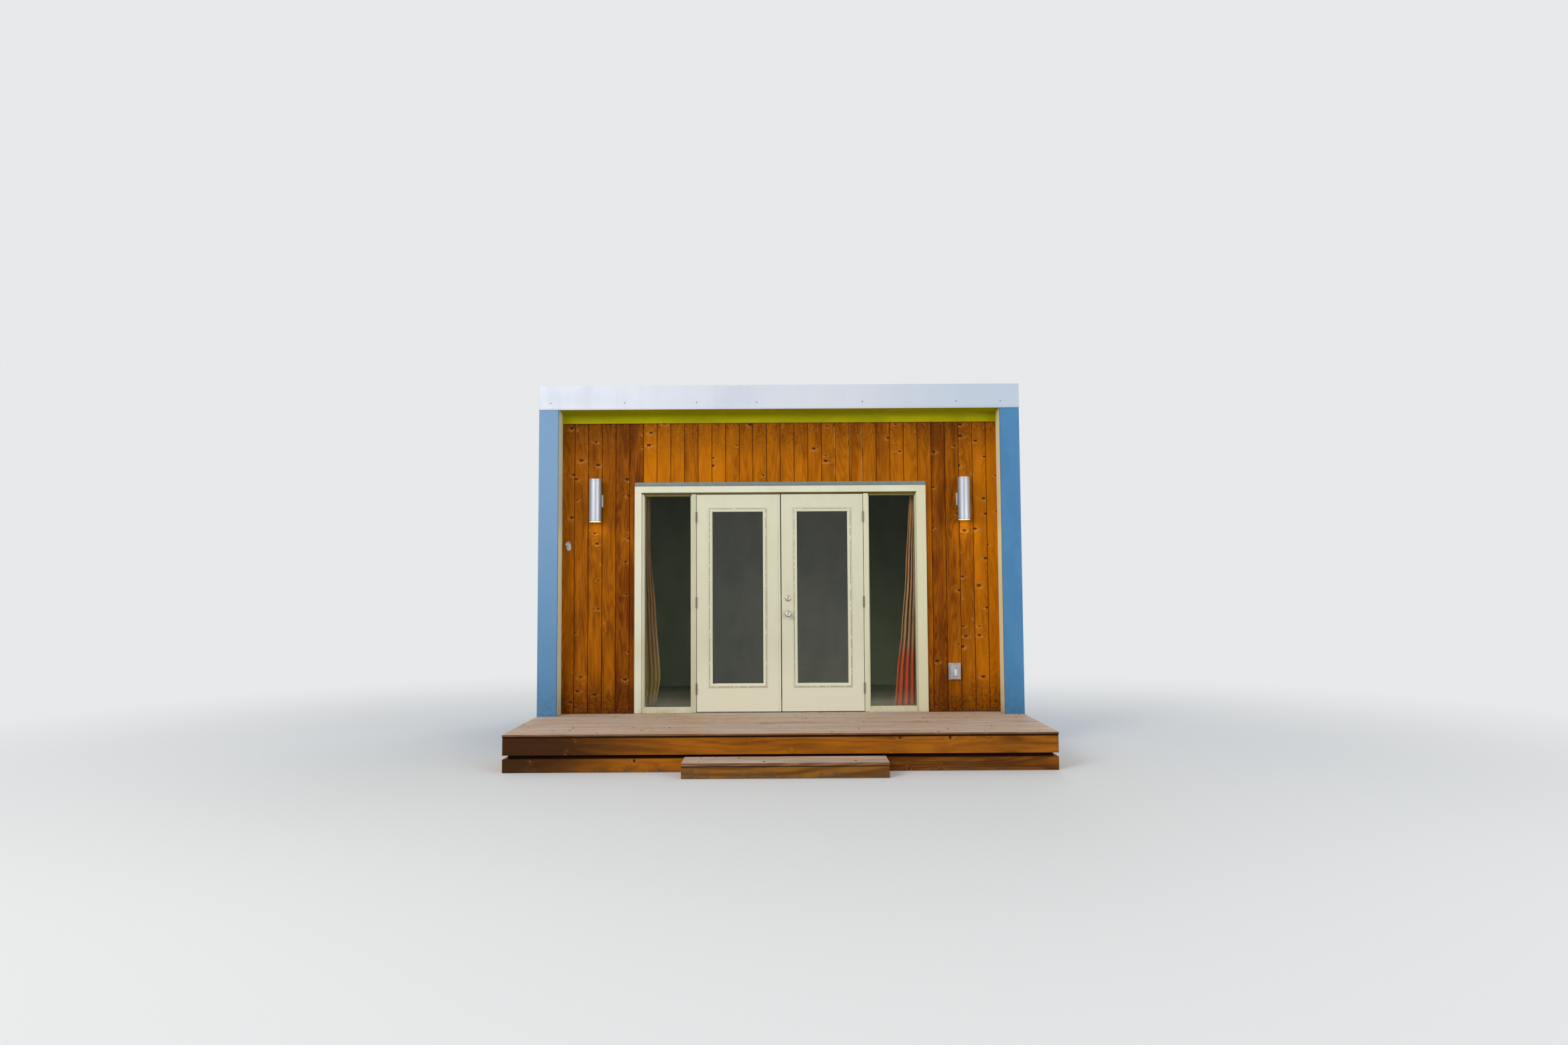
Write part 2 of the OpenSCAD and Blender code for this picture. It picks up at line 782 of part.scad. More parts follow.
// Cross pieces between the riser and the deck
module step_bearers() {
  start_y = step_y + nosing + joist_t;
  color(stain_dark) for (x = [-step_w / 2, -joist_t / 2, step_w / 2 - joist_t])
    translate([step_x + x, start_y, 0]) block([0, 0, 0], [joist_t, rim_y - start_y, step_h - tread_t]);
}

// Wall lights: a turned housing with a cap line and open ends, on an arm and a square plate
light_wall = 3;
lens_back = 8;
plate_back = 20;
cap_h = 14;
cap_line = 2;

module light_housing() {
  r = light_d / 2;
  bore = r - light_wall;
  rotate_extrude() polygon([
    [0, lens_back], [bore, lens_back], [bore, 0], [r, 0],
    [r, light_h - cap_h], [r - cap_line, light_h - cap_h],
    [r - cap_line, light_h - cap_h + cap_line], [r, light_h - cap_h + cap_line],
    [r, light_h], [bore, light_h], [bore, light_h - lens_back], [0, light_h - lens_back]
  ]);
}

module wall_light() {
  arm = light_d / 5;
  translate([light_x, 0, floor_z + light_z]) {
    translate([0, -light_out, -light_h / 2]) light_housing();
    block([-light_plate / 2, -plate_back, -light_plate / 2], [light_plate / 2, 0, light_plate / 2]);
    block([-arm, -light_out + light_d / 3, -arm], [arm, -plate_back, arm]);
  }
}

module wall_lights() { color(silver) both_sides() wall_light(); }

// A hooded outlet cover and a cast bottle opener
outlet_base = 10;
outlet_d = 62;
outlet_edge = 8;

module outlet_cover() {
  low = floor_z + outlet_z - outlet_h / 2;
  high = low + outlet_h;
  block([outlet_x - outlet_w / 2, -outlet_base, low], [outlet_x + outlet_w / 2, 0, high]);
  across(outlet_x - outlet_w / 2 + outlet_edge, outlet_x + outlet_w / 2 - outlet_edge, [
    [-outlet_base, low + outlet_edge], [-outlet_d, low + outlet_edge], [-outlet_d, low + 0.7 * outlet_h],
    [-0.6 * outlet_d, high - outlet_edge], [-outlet_base, high - outlet_edge]
  ]);
}

module bottle_opener() {
  plate = 4;
  translate([-opener_x, 0, floor_z + opener_z]) rotate([90, 0, 0]) {
    linear_extrude(plate) hull() for (z = [-22, 22]) translate([0, z]) circle(r = 21);
    translate([0, 14, plate]) linear_extrude(22) difference() {
      circle(r = 26);
      circle(r = 19);
      translate([-30, -40]) square([60, 34]);
    }
  }
}

module wall_fittings() {
  color(silver) outlet_cover();
  color(silver) bottle_opener();
}

ground_bearers();
floor_rims();
floor_joists();
floor_boards();
side_walls();
back_wall();
front_wall_piers();
front_wall_header();
side_siding();
back_siding();
front_edge_boards();
recess_boards();
cladding_beside_doors();
cladding_over_doors();
frieze_board();
porch_ceiling();
room_ceiling();
roof_panel();
sub_fascia();
roof_sheet();
front_fascia();
side_fascias();
back_fascia();
frame_head();
frame_jambs();
frame_posts();
sidelight_sills();
sidelight_stops();
sidelight_glass();
threshold();
casing_sides();
casing_head();
drip_cap();
frame_hinges();
left_door_stiles();
left_door_rails();
left_door_lite_frames();
left_door_glass();
left_door_astragal();
left_door_hinges();
right_door_stiles();
right_door_rails();
right_door_lite_frames();
right_door_glass();
right_door_hinges();
right_door_locks();
curtains();
deck_boards();
deck_joists();
deck_front_rims();
deck_side_rims();
step_treads();
step_riser();
step_bearers();
wall_lights();
wall_fittings();
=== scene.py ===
# %% [markdown]
# # A garden office pod
#
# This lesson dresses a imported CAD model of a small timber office: a box with a
# low metal roof, a recess lined with boards, a glazed pair of doors between
# two sidelights, and a deck with a step. The CAD model is the frame. It fixes
# every size, and Blender adds what a maker would add next: eased edges,
# separate boards, screws, glass, cloth and the finishes.

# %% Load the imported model
import json
import math
import random

import bmesh
import bpy
from mathutils import Matrix, Vector, noise


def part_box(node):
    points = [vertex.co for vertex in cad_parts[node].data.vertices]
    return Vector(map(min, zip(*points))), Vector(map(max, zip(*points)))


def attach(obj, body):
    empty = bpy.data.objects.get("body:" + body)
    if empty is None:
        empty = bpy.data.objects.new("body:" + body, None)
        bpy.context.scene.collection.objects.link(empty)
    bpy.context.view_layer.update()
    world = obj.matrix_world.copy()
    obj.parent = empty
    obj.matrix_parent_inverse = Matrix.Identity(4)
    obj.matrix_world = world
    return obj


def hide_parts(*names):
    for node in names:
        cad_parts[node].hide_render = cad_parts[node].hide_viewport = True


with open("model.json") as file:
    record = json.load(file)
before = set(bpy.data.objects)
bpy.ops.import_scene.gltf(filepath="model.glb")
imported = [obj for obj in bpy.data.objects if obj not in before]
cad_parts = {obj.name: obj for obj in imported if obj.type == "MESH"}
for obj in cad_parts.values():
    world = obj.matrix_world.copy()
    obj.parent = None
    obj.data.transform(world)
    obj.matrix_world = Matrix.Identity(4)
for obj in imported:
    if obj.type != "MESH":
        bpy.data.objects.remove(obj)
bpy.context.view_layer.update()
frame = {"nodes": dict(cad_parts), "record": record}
NODES, RECORD = frame["nodes"], frame["record"]
BODY_OF = {n: body for body, names in RECORD["behaviour"]["bodies"].items() for n in names}

# %% [markdown]
# ## The camera
#
# The camera comes first, because it decides what the render can be compared
# with. A wide 24 mm lens stands 9.7 m in front of the doors at eye height and
# looks up a little, with a slight roll, as a hand-held camera has.

# %% Camera
LOOK_UP, ROLL = 0.0617, 0.006


def new_object(name, data):
    """An object with this data, in the scene."""
    thing = bpy.data.objects.new(name, data)
    bpy.context.scene.collection.objects.link(thing)
    return thing


lens = bpy.data.cameras.new("lens")
lens.lens, lens.sensor_width = 24, 36
lens.clip_start, lens.clip_end = 0.1, 300
camera = new_object("camera", lens)
camera.location = (0.036, -9.7405, 1.4566)
camera.rotation_euler = (math.pi / 2 + LOOK_UP, ROLL, 0)
bpy.context.scene.camera = camera
print("camera at", tuple(round(x, 2) for x in camera.location))

# %% [markdown]
# ## Helpers that write shader nodes
#
# Every finish in this file is a small network of nodes. A field stands for one
# output of a node. It can be added and multiplied like a number, so that the
# networks below read like a recipe.

# %% Fields
def srgb(red, green, blue):
    """A colour as it looks on screen, 0 to 255, as the linear colour that shaders use."""
    return tuple(((c / 255 + 0.055) / 1.055) ** 2.4 for c in (red, green, blue)) + (1.0,)


class Field:
    """An output of a node, with the tree that it is in."""

    def __init__(self, socket):
        self.socket, self.tree = socket, socket.node.id_data

    def __add__(self, other):
        return calc("ADD", self, other)

    def __sub__(self, other):
        return calc("SUBTRACT", self, other)

    def __rsub__(self, other):
        return calc("SUBTRACT", other, self)

    def __mul__(self, other):
        return calc("MULTIPLY", self, other)

    def __truediv__(self, other):
        return calc("DIVIDE", self, other)


# %% Nodes that take and give fields
def give(socket, value):
    """Links a field to a socket or sets a value on it. Three numbers are a colour as on screen."""
    if isinstance(value, Field):
        value.tree.links.new(value.socket, socket)
    else:
        socket.default_value = srgb(*value) if isinstance(value, tuple) and len(value) == 3 else value


def put(tree, kind, sockets=None, **options):
    """Adds a node and gives back its outputs, by number and by name."""
    node = tree.nodes.new(kind)
    for option, value in options.items():
        setattr(node, option, value)
    for socket, value in (sockets or {}).items():
        give(node.inputs[socket], value)
    fields = [Field(socket) for socket in node.outputs]
    return {**dict(enumerate(fields)), **{field.socket.name: field for field in fields}}


def calc(operation, first, second=0.0):
    tree = (first if isinstance(first, Field) else second).tree
    return put(tree, "ShaderNodeMath", {0: first, 1: second}, operation=operation)[0]


def ramp(value, low, high, out_low=0.0, out_high=1.0):
    """A soft step of a field from low to high."""
    return put(value.tree, "ShaderNodeMapRange", {0: value, 1: low, 2: high, 3: out_low, 4: out_high},
               interpolation_type="SMOOTHSTEP")[0]


def cloud(place, scale, detail=3.0, roughness=0.5):
    return put(place.tree, "ShaderNodeTexNoise",
               {"Vector": place, "Scale": scale, "Detail": detail, "Roughness": roughness})[0]


def mixed(share, first, second):
    return put(share.tree, "ShaderNodeMix", {0: share, 6: first, 7: second}, data_type="RGBA")[2]


def point(x, y, z=0.0):
    return put(x.tree, "ShaderNodeCombineXYZ", {0: x, 1: y, 2: z})[0]


def split(field, into="XYZ"):
    """The three coordinates of a place, or the channels of a Color."""
    parts = put(field.tree, "ShaderNodeSeparate" + into, {0: field})
    return parts[0], parts[1], parts[2]


def bump(height, distance, strength=1.0):
    sockets = {"Strength": strength, "Distance": distance, "Height": height}
    return put(height.tree, "ShaderNodeBump", sockets)[0]


# %% Groups and materials
def attribute(tree, name):
    return put(tree, "ShaderNodeAttribute", attribute_name=name, attribute_type="GEOMETRY")["Fac"]


def new_group(name, inputs, outputs):
    """A shader node group with float inputs, or a vector where the value is None, and float outputs."""
    tree = bpy.data.node_groups.new(name, "ShaderNodeTree")
    for label, value in inputs.items():
        kind = "NodeSocketVector" if value is None else "NodeSocketFloat"
        socket = tree.interface.new_socket(name=label, in_out="INPUT", socket_type=kind)
        if value is not None:
            socket.default_value = value
    for label in outputs:
        tree.interface.new_socket(name=label, in_out="OUTPUT", socket_type="NodeSocketFloat")
    return tree, put(tree, "NodeGroupInput")


def use(group, **sockets):
    """Places a group where its first field is. Ring_Width stands for Ring Width."""
    tree = next(iter(sockets.values())).tree
    named = {name.replace("_", " "): value for name, value in sockets.items()}
    return put(tree, "ShaderNodeGroup", named, node_tree=group)


def new_finish(name):
    """An empty material, its tree, its Principled shader, the Object place and its coordinates."""
    finish = bpy.data.materials.new(name)
    finish.use_nodes = True
    tree = finish.node_tree
    place = put(tree, "ShaderNodeTexCoord")["Object"]
    return finish, tree, tree.nodes["Principled BSDF"], place, split(place)


def wire(shader, **sockets):
    """Gives the shader its sockets: Base_Color stands for Base Color."""
    for name, value in sockets.items():
        give(shader.inputs[name.replace("_", " ")], value)


def blend(share, first, second):
    """A mix of two shaders."""
    return put(share.tree, "ShaderNodeMixShader", {0: share, 1: first, 2: second})[0]


# %% [markdown]
# ## Shared patterns as node groups
#
# Wood, paint, dirt and wear turn up on almost every piece, so each is one
# shader node group. The plank figure draws contour lines of a soft, stretched
# noise, which bend into arches as flat-sawn boards do, and lets them flow
# round knots. The board number shifts the pattern, so that no two boards
# are cut from the same place.

# %% Plank figure
KNOT_CELLS = 7.5
figure_group, entry = new_group(
    "plank figure", {"Across": 0.0, "Along": 0.0, "Board": 0.0, "Ring Width": 0.006, "Knot Share": 0.5},
    ("Rings", "Knots", "Flecks", "Fibre", "Blotch", "Height"))
dice = put(figure_group, "ShaderNodeTexWhiteNoise", {"W": entry["Board"]}, noise_dimensions="1D")
red, green, _ = split(dice["Color"], "Color")
across = entry["Across"] + red * 7.0
along = entry["Along"] + green * 11.0
upward = along * 0.95
cells = put(figure_group, "ShaderNodeTexVoronoi",
            {"Vector": point(across * 0.55, upward), "Scale": KNOT_CELLS},
            voronoi_dimensions="2D", feature="F1")
near = cells["Distance"] / KNOT_CELLS + cloud(point(across, along), 70.0) * 0.011
chance, size, _ = split(cells["Color"], "Color")
kept = calc("LESS_THAN", chance, entry["Knot Share"])
radius = ramp(size, 0.0, 1.0, 0.0115, 0.019)
knot = kept * ramp(near, radius * 0.65, radius * 1.15, 1.0, 0.0)
halo = kept * ramp(near, 0.0, radius * 3.6, 1.0, 0.0)
above = upward - split(cells["Position"])[1]
sliver = ramp(cloud(point(across, along * 2.5, size), 55.0, 2.0), 0.47, 0.6)
sliver = ramp(halo, 0.3, 0.6) * sliver * ramp(above, 0.004, -0.002)
figure = cloud(point(across, along * 0.09, red), 5.0, 1.0, 0.4)
level = figure * 0.13 + halo * 0.009 + cloud(point(across * 30.0, along * 4.0), 1.0, 2.0) * 0.006
rings = ramp(calc("SINE", level / entry["Ring Width"] * (2 * math.pi)), -0.7, 1.0)
fibre = cloud(point(across * 240.0, along * 7.0), 1.0, 2.0, 0.6)
put(figure_group, "NodeGroupOutput", {
    "Rings": rings, "Knots": knot, "Flecks": halo * 0.04 + sliver * 0.42, "Fibre": fibre,
    "Blotch": cloud(point(across * 1.9, along * 0.28, green), 5.5, 4.0, 0.62),
    "Height": rings * 0.4 + fibre * 0.6 - knot * 0.5})
print("plank figure:", len(figure_group.nodes), "nodes")

# %% [markdown]
# Paint on rough boards keeps the marks of the brush, and it goes chalky and
# patchy in the sun. Rain throws soil up against the lowest boards, and hands,
# feet and ladders rub the eased edges. Three more groups make these.

# %% Brush strokes, splashes and worn edges
brush_group, entry = new_group(
    "brush strokes", {"Across": 0.0, "Along": 0.0}, ("Strokes", "Patches", "Height"))
across, along = entry["Across"], entry["Along"]
strokes = cloud(point(across * 260.0, along * 9.0), 1.0, 3.0, 0.6)
pores = cloud(point(across * 90.0, along * 12.0), 1.0, 2.0)
put(brush_group, "NodeGroupOutput", {
    "Strokes": strokes, "Patches": cloud(point(across, along * 0.5), 4.0, 5.0, 0.6),
    "Height": strokes + pores * 0.8})

splash_group, entry = new_group("splash", {"Place": None, "Low": 0.0, "High": 0.4}, ["Splash"])
place = entry["Place"]
ragged = split(place)[2] + (cloud(place, 5.0, 6.0, 0.65) - 0.5) * -0.45
specks = ramp(cloud(place, 34.0, 4.0, 0.7), 0.42, 0.68, 0.45, 1.0)
put(splash_group, "NodeGroupOutput", {"Splash": ramp(ragged, entry["Low"], entry["High"], 1.0, 0.0) * specks})

wear_group, entry = new_group("worn edge", {"Place": None, "Edge": 0.0, "Amount": 0.5}, ["Wear"])
start = 0.72 - entry["Amount"] * 0.3
spots = ramp(cloud(entry["Place"], 22.0, 5.0, 0.7), start, start + 0.09)
put(wear_group, "NodeGroupOutput", {"Wear": entry["Edge"] * spots})
print("groups:", len(bpy.data.node_groups))

# %% [markdown]
# Galvanised steel shows its zinc crystals as faint facets, and it is dulled by
# rain streaks. Rolled sheet also drifts in and out along its length.

# %% Zinc skin
zinc_group, entry = new_group("zinc skin", {"Place": None}, ("Spangle", "Streaks", "Height"))
facets = put(zinc_group, "ShaderNodeTexVoronoi", {"Vector": entry["Place"], "Scale": 75.0})
x, y, z = split(entry["Place"])
put(zinc_group, "NodeGroupOutput", {
    "Spangle": split(facets["Color"], "Color")[0], "Height": cloud(entry["Place"], 2.4, 1.0),
    "Streaks": cloud(point(x * 16.0, y * 16.0, z * 1.6), 1.0, 5.0, 0.6)})
print("groups:", len(bpy.data.node_groups))

# %% [markdown]
# ## Wood finishes
#
# Each wood finish reads the Object coordinates along the way its boards run.
# The across coordinate is the sum of the other two, so the faces and the
# edges of a board share one figure. The board number and the tone are
# attributes that each board's faces carry.

# %% A wood finish
UNBLEACHED = 1.15


def board_axes(xyz, runs):
    """Across and along, for boards that run along X, Y or Z."""
    index = "XYZ".index(runs)
    one, two = (xyz[i] for i in range(3) if i != index)
    return one + two, xyz[index]


def wood_finish(name, runs, pale, dark, knot, rough=0.6, ring_width=0.006, knots=0.5, figure=0.25,
                blotchy=0.8, tone=0.6, depth=0.0012, soil=None, low=0.0, high=0.4, gloss=0.15, weather=None,
                edge_and_shadow_colour=None, edge_share=0.5, darker_left=None, mildew_and_frieze_shadow=None, bare=None, fleck=None):
    """Pale and dark are the two ends of the wood's own colour. Weather is the grey that it turns on top,
    unless its tone is unbleached. Soil splashes it from low to high. From the top down it darkens with mildew
    and a painted shadow under the frieze, and towards the left end with a darker colour."""
    finish, tree, shader, place, xyz = new_finish(name)
    across, along = board_axes(xyz, runs)
    shade, edge = attribute(tree, "tone"), attribute(tree, "edge")
    plank = use(figure_group, Across=across, Along=along, Board=attribute(tree, "board"),
                Ring_Width=ring_width, Knot_Share=knots or attribute(tree, "knotty"))
    blotch, fibre = plank["Blotch"], plank["Fibre"]
    share = shade * tone + (plank["Rings"] - 0.5) * figure + (blotch - 0.5) * blotchy + (fibre - 0.5) * 0.3
    colour = mixed(ramp(share, -0.25, 0.95), pale, dark)
    if weather:
        bleached = ramp(blotch + fibre * 0.5, 0.45, 0.95)
        colour = mixed(bleached * ramp(shade, 0.95, UNBLEACHED, 1.0, 0.0), colour, weather)
    # Darker towards the left end of the rims.
    if darker_left:
        ragged = xyz[0] + blotch * 1.1 + ramp(xyz[2], 0.12, 0.13, 0.26, 0.0)
        colour = mixed(ramp(ragged, -1.2, -0.1, 0.92, 0.0), colour, darker_left)
    # Darker from the top down: mildew, and a painted shadow under the frieze.
    if mildew_and_frieze_shadow:
        top_low, top_high, mould_and_shadow = mildew_and_frieze_shadow
        patch = use(splash_group, Place=place, Low=top_high, High=top_low)["Splash"]
        colour = mixed(patch * 0.75, colour, mould_and_shadow)
    colour = mixed(plank["Flecks"] * 0.9, colour, fleck or pale)
    colour = mixed(plank["Knots"] * 0.9, colour, knot)
    if soil:
        colour = mixed(use(splash_group, Place=place, Low=low, High=high)["Splash"], colour, soil)
    # The edge colour darkens eased edges, and on faces marked as a shadow line it is painted shadow.
    if edge_and_shadow_colour:
        colour = mixed(edge * edge_share, colour, edge_and_shadow_colour)
    else:
        colour = mixed(use(wear_group, Place=place, Edge=edge, Amount=0.6)["Wear"] * edge_share, colour, pale)
    if bare:
        torn = ramp(cloud(place, 9.0, 3.0, 0.6), 0.4, 0.56)
        colour = mixed(attribute(tree, "bare") * torn, colour, bare)
    wire(shader, Base_Color=colour, Specular_IOR_Level=gloss, Normal=bump(plank["Height"], depth, 0.7),
         Roughness=ramp(fibre, 0.2, 0.9, rough - 0.1, rough + 0.12))
    return finish


# %% Stains and bare wood
RIM_COLOURS = (178, 104, 16), (80, 42, 8), (34, 16, 6)
SAWN_COLOURS = (96, 70, 44), (50, 34, 20), (34, 22, 14)
# The edge colour darkens the eased edges, and in the undercuts it is a painted shadow line.
rim_options = dict(ring_width=0.008, figure=0.18, blotchy=1.2, tone=0.55, depth=0.0015, gloss=0.09,
                   soil=(84, 58, 38), low=-0.06, high=0.04, edge_and_shadow_colour=(62, 34, 12), edge_share=0.4)
sawn_options = dict(rough=0.8, knots=0.4, depth=0.0015)
stained_cladding = wood_finish(
    "orange-brown stain on upright softwood", "Z", (200, 116, 2), (86, 33, 3), (44, 17, 4),
    rough=0.55, ring_width=0.0045, knots=None, figure=0.14, blotchy=1.1, gloss=0.04,
    soil=(70, 34, 8), low=0.3, high=0.75, edge_and_shadow_colour=(60, 24, 2), edge_share=0.55,
    mildew_and_frieze_shadow=(2.55, 3.06, (58, 30, 6)), bare=(222, 158, 78), fleck=(228, 164, 84))
stained_rims = wood_finish(
    "brown stain on rim boards", "X", *RIM_COLOURS, darker_left=(45, 25, 10), **rim_options)
stained_side_rims = wood_finish("brown stain on side rim boards", "Y", *RIM_COLOURS, **rim_options)
stained_riser = wood_finish(
    "dark stain on the step", "X", (140, 90, 30), (62, 36, 12), (34, 18, 8),
    rough=0.62, ring_width=0.012, knots=0.25, figure=0.6, tone=0.4, depth=0.0018, gloss=0.1,
    soil=(92, 68, 46), low=-0.02, high=0.07, edge_and_shadow_colour=(34, 18, 8), edge_share=0.35)
weathered_deck = wood_finish(
    "weathered deck boards", "X", (222, 178, 138), (112, 76, 48), (92, 62, 42), rough=0.72, knots=0.3,
    blotchy=0.6, depth=0.002, weather=(208, 188, 172), edge_and_shadow_colour=(44, 22, 8), edge_share=0.2)
# These bearers and the deck joists are near black: painted shade for the slot under the deck.
bearers_painted_as_shade = wood_finish("bearers, dark as painted shade", "X", (40, 20, 10), (16, 8, 4), (10, 6, 4), rough=0.85, gloss=0.05)
sawn_timber = wood_finish("sawn framing timber", "X", *SAWN_COLOURS, **sawn_options)
sawn_joists = wood_finish("sawn joists", "Y", *SAWN_COLOURS, **sawn_options)
joists_painted_as_shade = wood_finish("joists under the deck, dark as painted shade", "Y", (34, 22, 12), (16, 10, 5), (12, 8, 5),
                          rough=0.85, gloss=0.05, knots=0.4, depth=0.0015)
print("wood finishes:", len(bpy.data.materials))

# %% [markdown]
# ## Painted finishes
#
# House paint is one colour that never looks like one. The brush leaves fine lines, the sun bleaches it in
# patches, and rain carries dirt down it. The blue is paler towards the left edge and towards the top, so this
# paler colour follows the Object X and Z. The fades along an axis are painted light and shade: painted shadow
# under the fascia and the casing, painted bounce light low on the doors.

# %% A painted finish
def paint_finish(name, runs, colour, shade, rough=0.5, depth=0.0004, soil=(120, 104, 84), low=-0.6, high=-0.5,
                 paler_left_and_top=None, wear=0.4, primer_and_groove_shade=(196, 186, 164), gloss=0.2, fade=None):
    """Colour is the fresh paint, shade the grubby one; the paler colour is for the left side and the top.
    Fade is an axis, where it starts and ends, and the colour that the paint turns to along it; each fade here
    is painted light or shade. The primer shows on worn edges and, where a groove is marked, as painted shade."""
    finish, tree, shader, place, xyz = new_finish(name)
    across, along = board_axes(xyz, runs)
    brush = use(brush_group, Across=across, Along=along)
    share = ramp(brush["Patches"], 0.3, 0.75) + attribute(tree, "tone") * 0.5 + brush["Strokes"] * 0.3
    tint = mixed(ramp(share, 0.1, 1.5), colour, shade)
    if paler_left_and_top:
        tint = mixed(ramp(xyz[0], 0.6, -1.6) * ramp(xyz[2], 0.4, 2.6, 0.35, 1.0), tint, paler_left_and_top)
    if fade:
        axis, start, end, turned = fade
        tint = mixed(ramp(xyz[axis], start, end), tint, turned)
    tint = mixed(use(splash_group, Place=place, Low=low, High=high)["Splash"] * 0.7, tint, soil)
    worn = use(wear_group, Place=place, Edge=attribute(tree, "edge"), Amount=wear)["Wear"]
    wire(shader, Base_Color=mixed(worn * 0.7, tint, primer_and_groove_shade), Specular_IOR_Level=gloss,
         Roughness=ramp(brush["Patches"], 0.2, 0.8, rough - 0.08, rough + 0.1),
         Normal=bump(brush["Height"], depth, 0.6))
    return finish


# %% Paints
# Soil darkens the blue up to about 0.8 m: dirt near the foot, and higher up a painted shadow of a chair.
blue_paint = paint_finish(
    "blue paint on edge boards", "Z", (66, 123, 168), (80, 133, 176), rough=0.6, depth=0.0006,
    soil=(46, 80, 108), low=0.05, high=0.8, paler_left_and_top=(122, 156, 190), primer_and_groove_shade=(150, 172, 188))
# The fade warms the right strip: painted warm light bounced from the cladding.
recess_paint_with_warm_light = paint_finish(
    "cream paint in the recess", "Z", (240, 244, 216), (228, 232, 200), rough=0.55, soil=(170, 138, 90),
    low=0.25, high=0.6, fade=(0, -1.0, 1.0, (252, 246, 204)), primer_and_groove_shade=(92, 80, 62), wear=2.6)
# The fade darkens the top of the frieze: painted shadow under the fascia.
olive_paint_shaded_top = paint_finish(
    "olive paint", "X", (172, 168, 0), (152, 146, 0), rough=0.55, primer_and_groove_shade=(214, 208, 96), wear=1.2, gloss=0.06,
    fade=(2, 3.03, 3.085, (148, 142, 0)))
# A darker copy of the olive paint: painted shade on the porch ceiling.
soffit_paint_shaded = paint_finish(
    "olive paint on the porch ceiling", "X", (163, 152, 0), (150, 140, 0), rough=0.55, gloss=0.06)
CREAM, DOOR_CREAM = ((225, 223, 200), (215, 210, 180)), ((218, 215, 189), (210, 207, 179))
# The fade pales the lower part of the doors: painted bounce light from the deck.
door_options_with_bounce_light = dict(rough=0.36, depth=0.0002, fade=(2, 1.0, 0.4, (229, 226, 202)))
# The fade darkens the casing at the right end: painted shade.
cream_paint_shaded_right = paint_finish(
    "cream paint on frame and casing", "Z", *CREAM, rough=0.42, soil=(182, 164, 124), low=0.26, high=0.42,
    primer_and_groove_shade=(236, 234, 222), fade=(0, 1.0, 1.4, (216, 211, 177)))
# The posts are a darker cream that pales to the right: painted shade on the left post.
post_paint_shaded_left = paint_finish(
    "cream paint on the posts", "Z", (204, 200, 171), (196, 191, 159), rough=0.42, primer_and_groove_shade=(222, 218, 196),
    fade=(0, -0.8, 0.8, (218, 214, 182)))
# The fade turns the top of the stops dark olive: painted shade under the head casing.
stop_paint_shaded_top = paint_finish(
    "cream paint on the stops", "Z", *CREAM, rough=0.42, primer_and_groove_shade=(236, 234, 222),
    fade=(2, 2.306, 2.312, (124, 114, 62)))
# The frame head is painted dark olive: painted shade under the casing head.
head_painted_shade = paint_finish(
    "paint under the casing, dark as painted shade", "X", (108, 96, 52), (88, 78, 38), rough=0.6, primer_and_groove_shade=(150, 138, 90))
door_paint = paint_finish(
    "cream paint on the doors", "Z", *DOOR_CREAM, primer_and_groove_shade=(232, 228, 210), **door_options_with_bounce_light)
# On the lite frames this primer colour shows only in the groove, as painted shade.
lite_paint = paint_finish(
    "cream paint on the lite frames", "Z", *DOOR_CREAM, primer_and_groove_shade=(132, 126, 96), wear=1.0, **door_options_with_bounce_light)
lining_paint = paint_finish("wall paint indoors", "Z", (132, 128, 112), (118, 114, 98), rough=0.7)
# The fade darkens the floor towards the back of the room: painted shade.
floor_paint_shaded_back = paint_finish(
    "grey floor paint", "X", (196, 188, 178), (172, 164, 152), depth=0.0005,
    fade=(1, 0.7, 1.6, (104, 102, 92)))
print("finishes:", len(bpy.data.materials))

# %% [markdown]
# ## Metal, glass and cloth finishes
#
# The roof trims are dull galvanised sheet, the hardware is satin nickel, and
# the lights are brushed aluminium. Glass needs two answers: it bends and
# mirrors what the camera sees, yet it lets daylight straight through to the
# room. Light Path tells the two kinds of ray apart.

# %% Metals
def metal_finish(name, colour, dull, metallic=0.6, rough=0.42, streaky=1.0, gloss=0.5, right=None):
    """Dull is the colour of the patches, right the darker colour that the right end fades to, as painted
    shade.
    """
    finish, tree, shader, place, xyz = new_finish(name)
    zinc = use(zinc_group, Place=place)
    share = zinc["Streaks"] * streaky + zinc["Height"] * (1.0 - streaky) + zinc["Spangle"] * 0.06
    tint = mixed(ramp(share, 0.35, 0.95), colour, dull)
    if right:
        tint = mixed(ramp(xyz[0], 0.4, 2.0), tint, right)
    worn = use(wear_group, Place=place, Edge=attribute(tree, "edge"), Amount=0.7)["Wear"]
    wire(shader, Base_Color=mixed(worn * 0.4, tint, colour), Metallic=metallic, Specular_IOR_Level=gloss,
         Roughness=ramp(share, 0.3, 1.0, rough - 0.07, rough + 0.12), Normal=bump(zinc["Height"], 0.0002))
    return finish


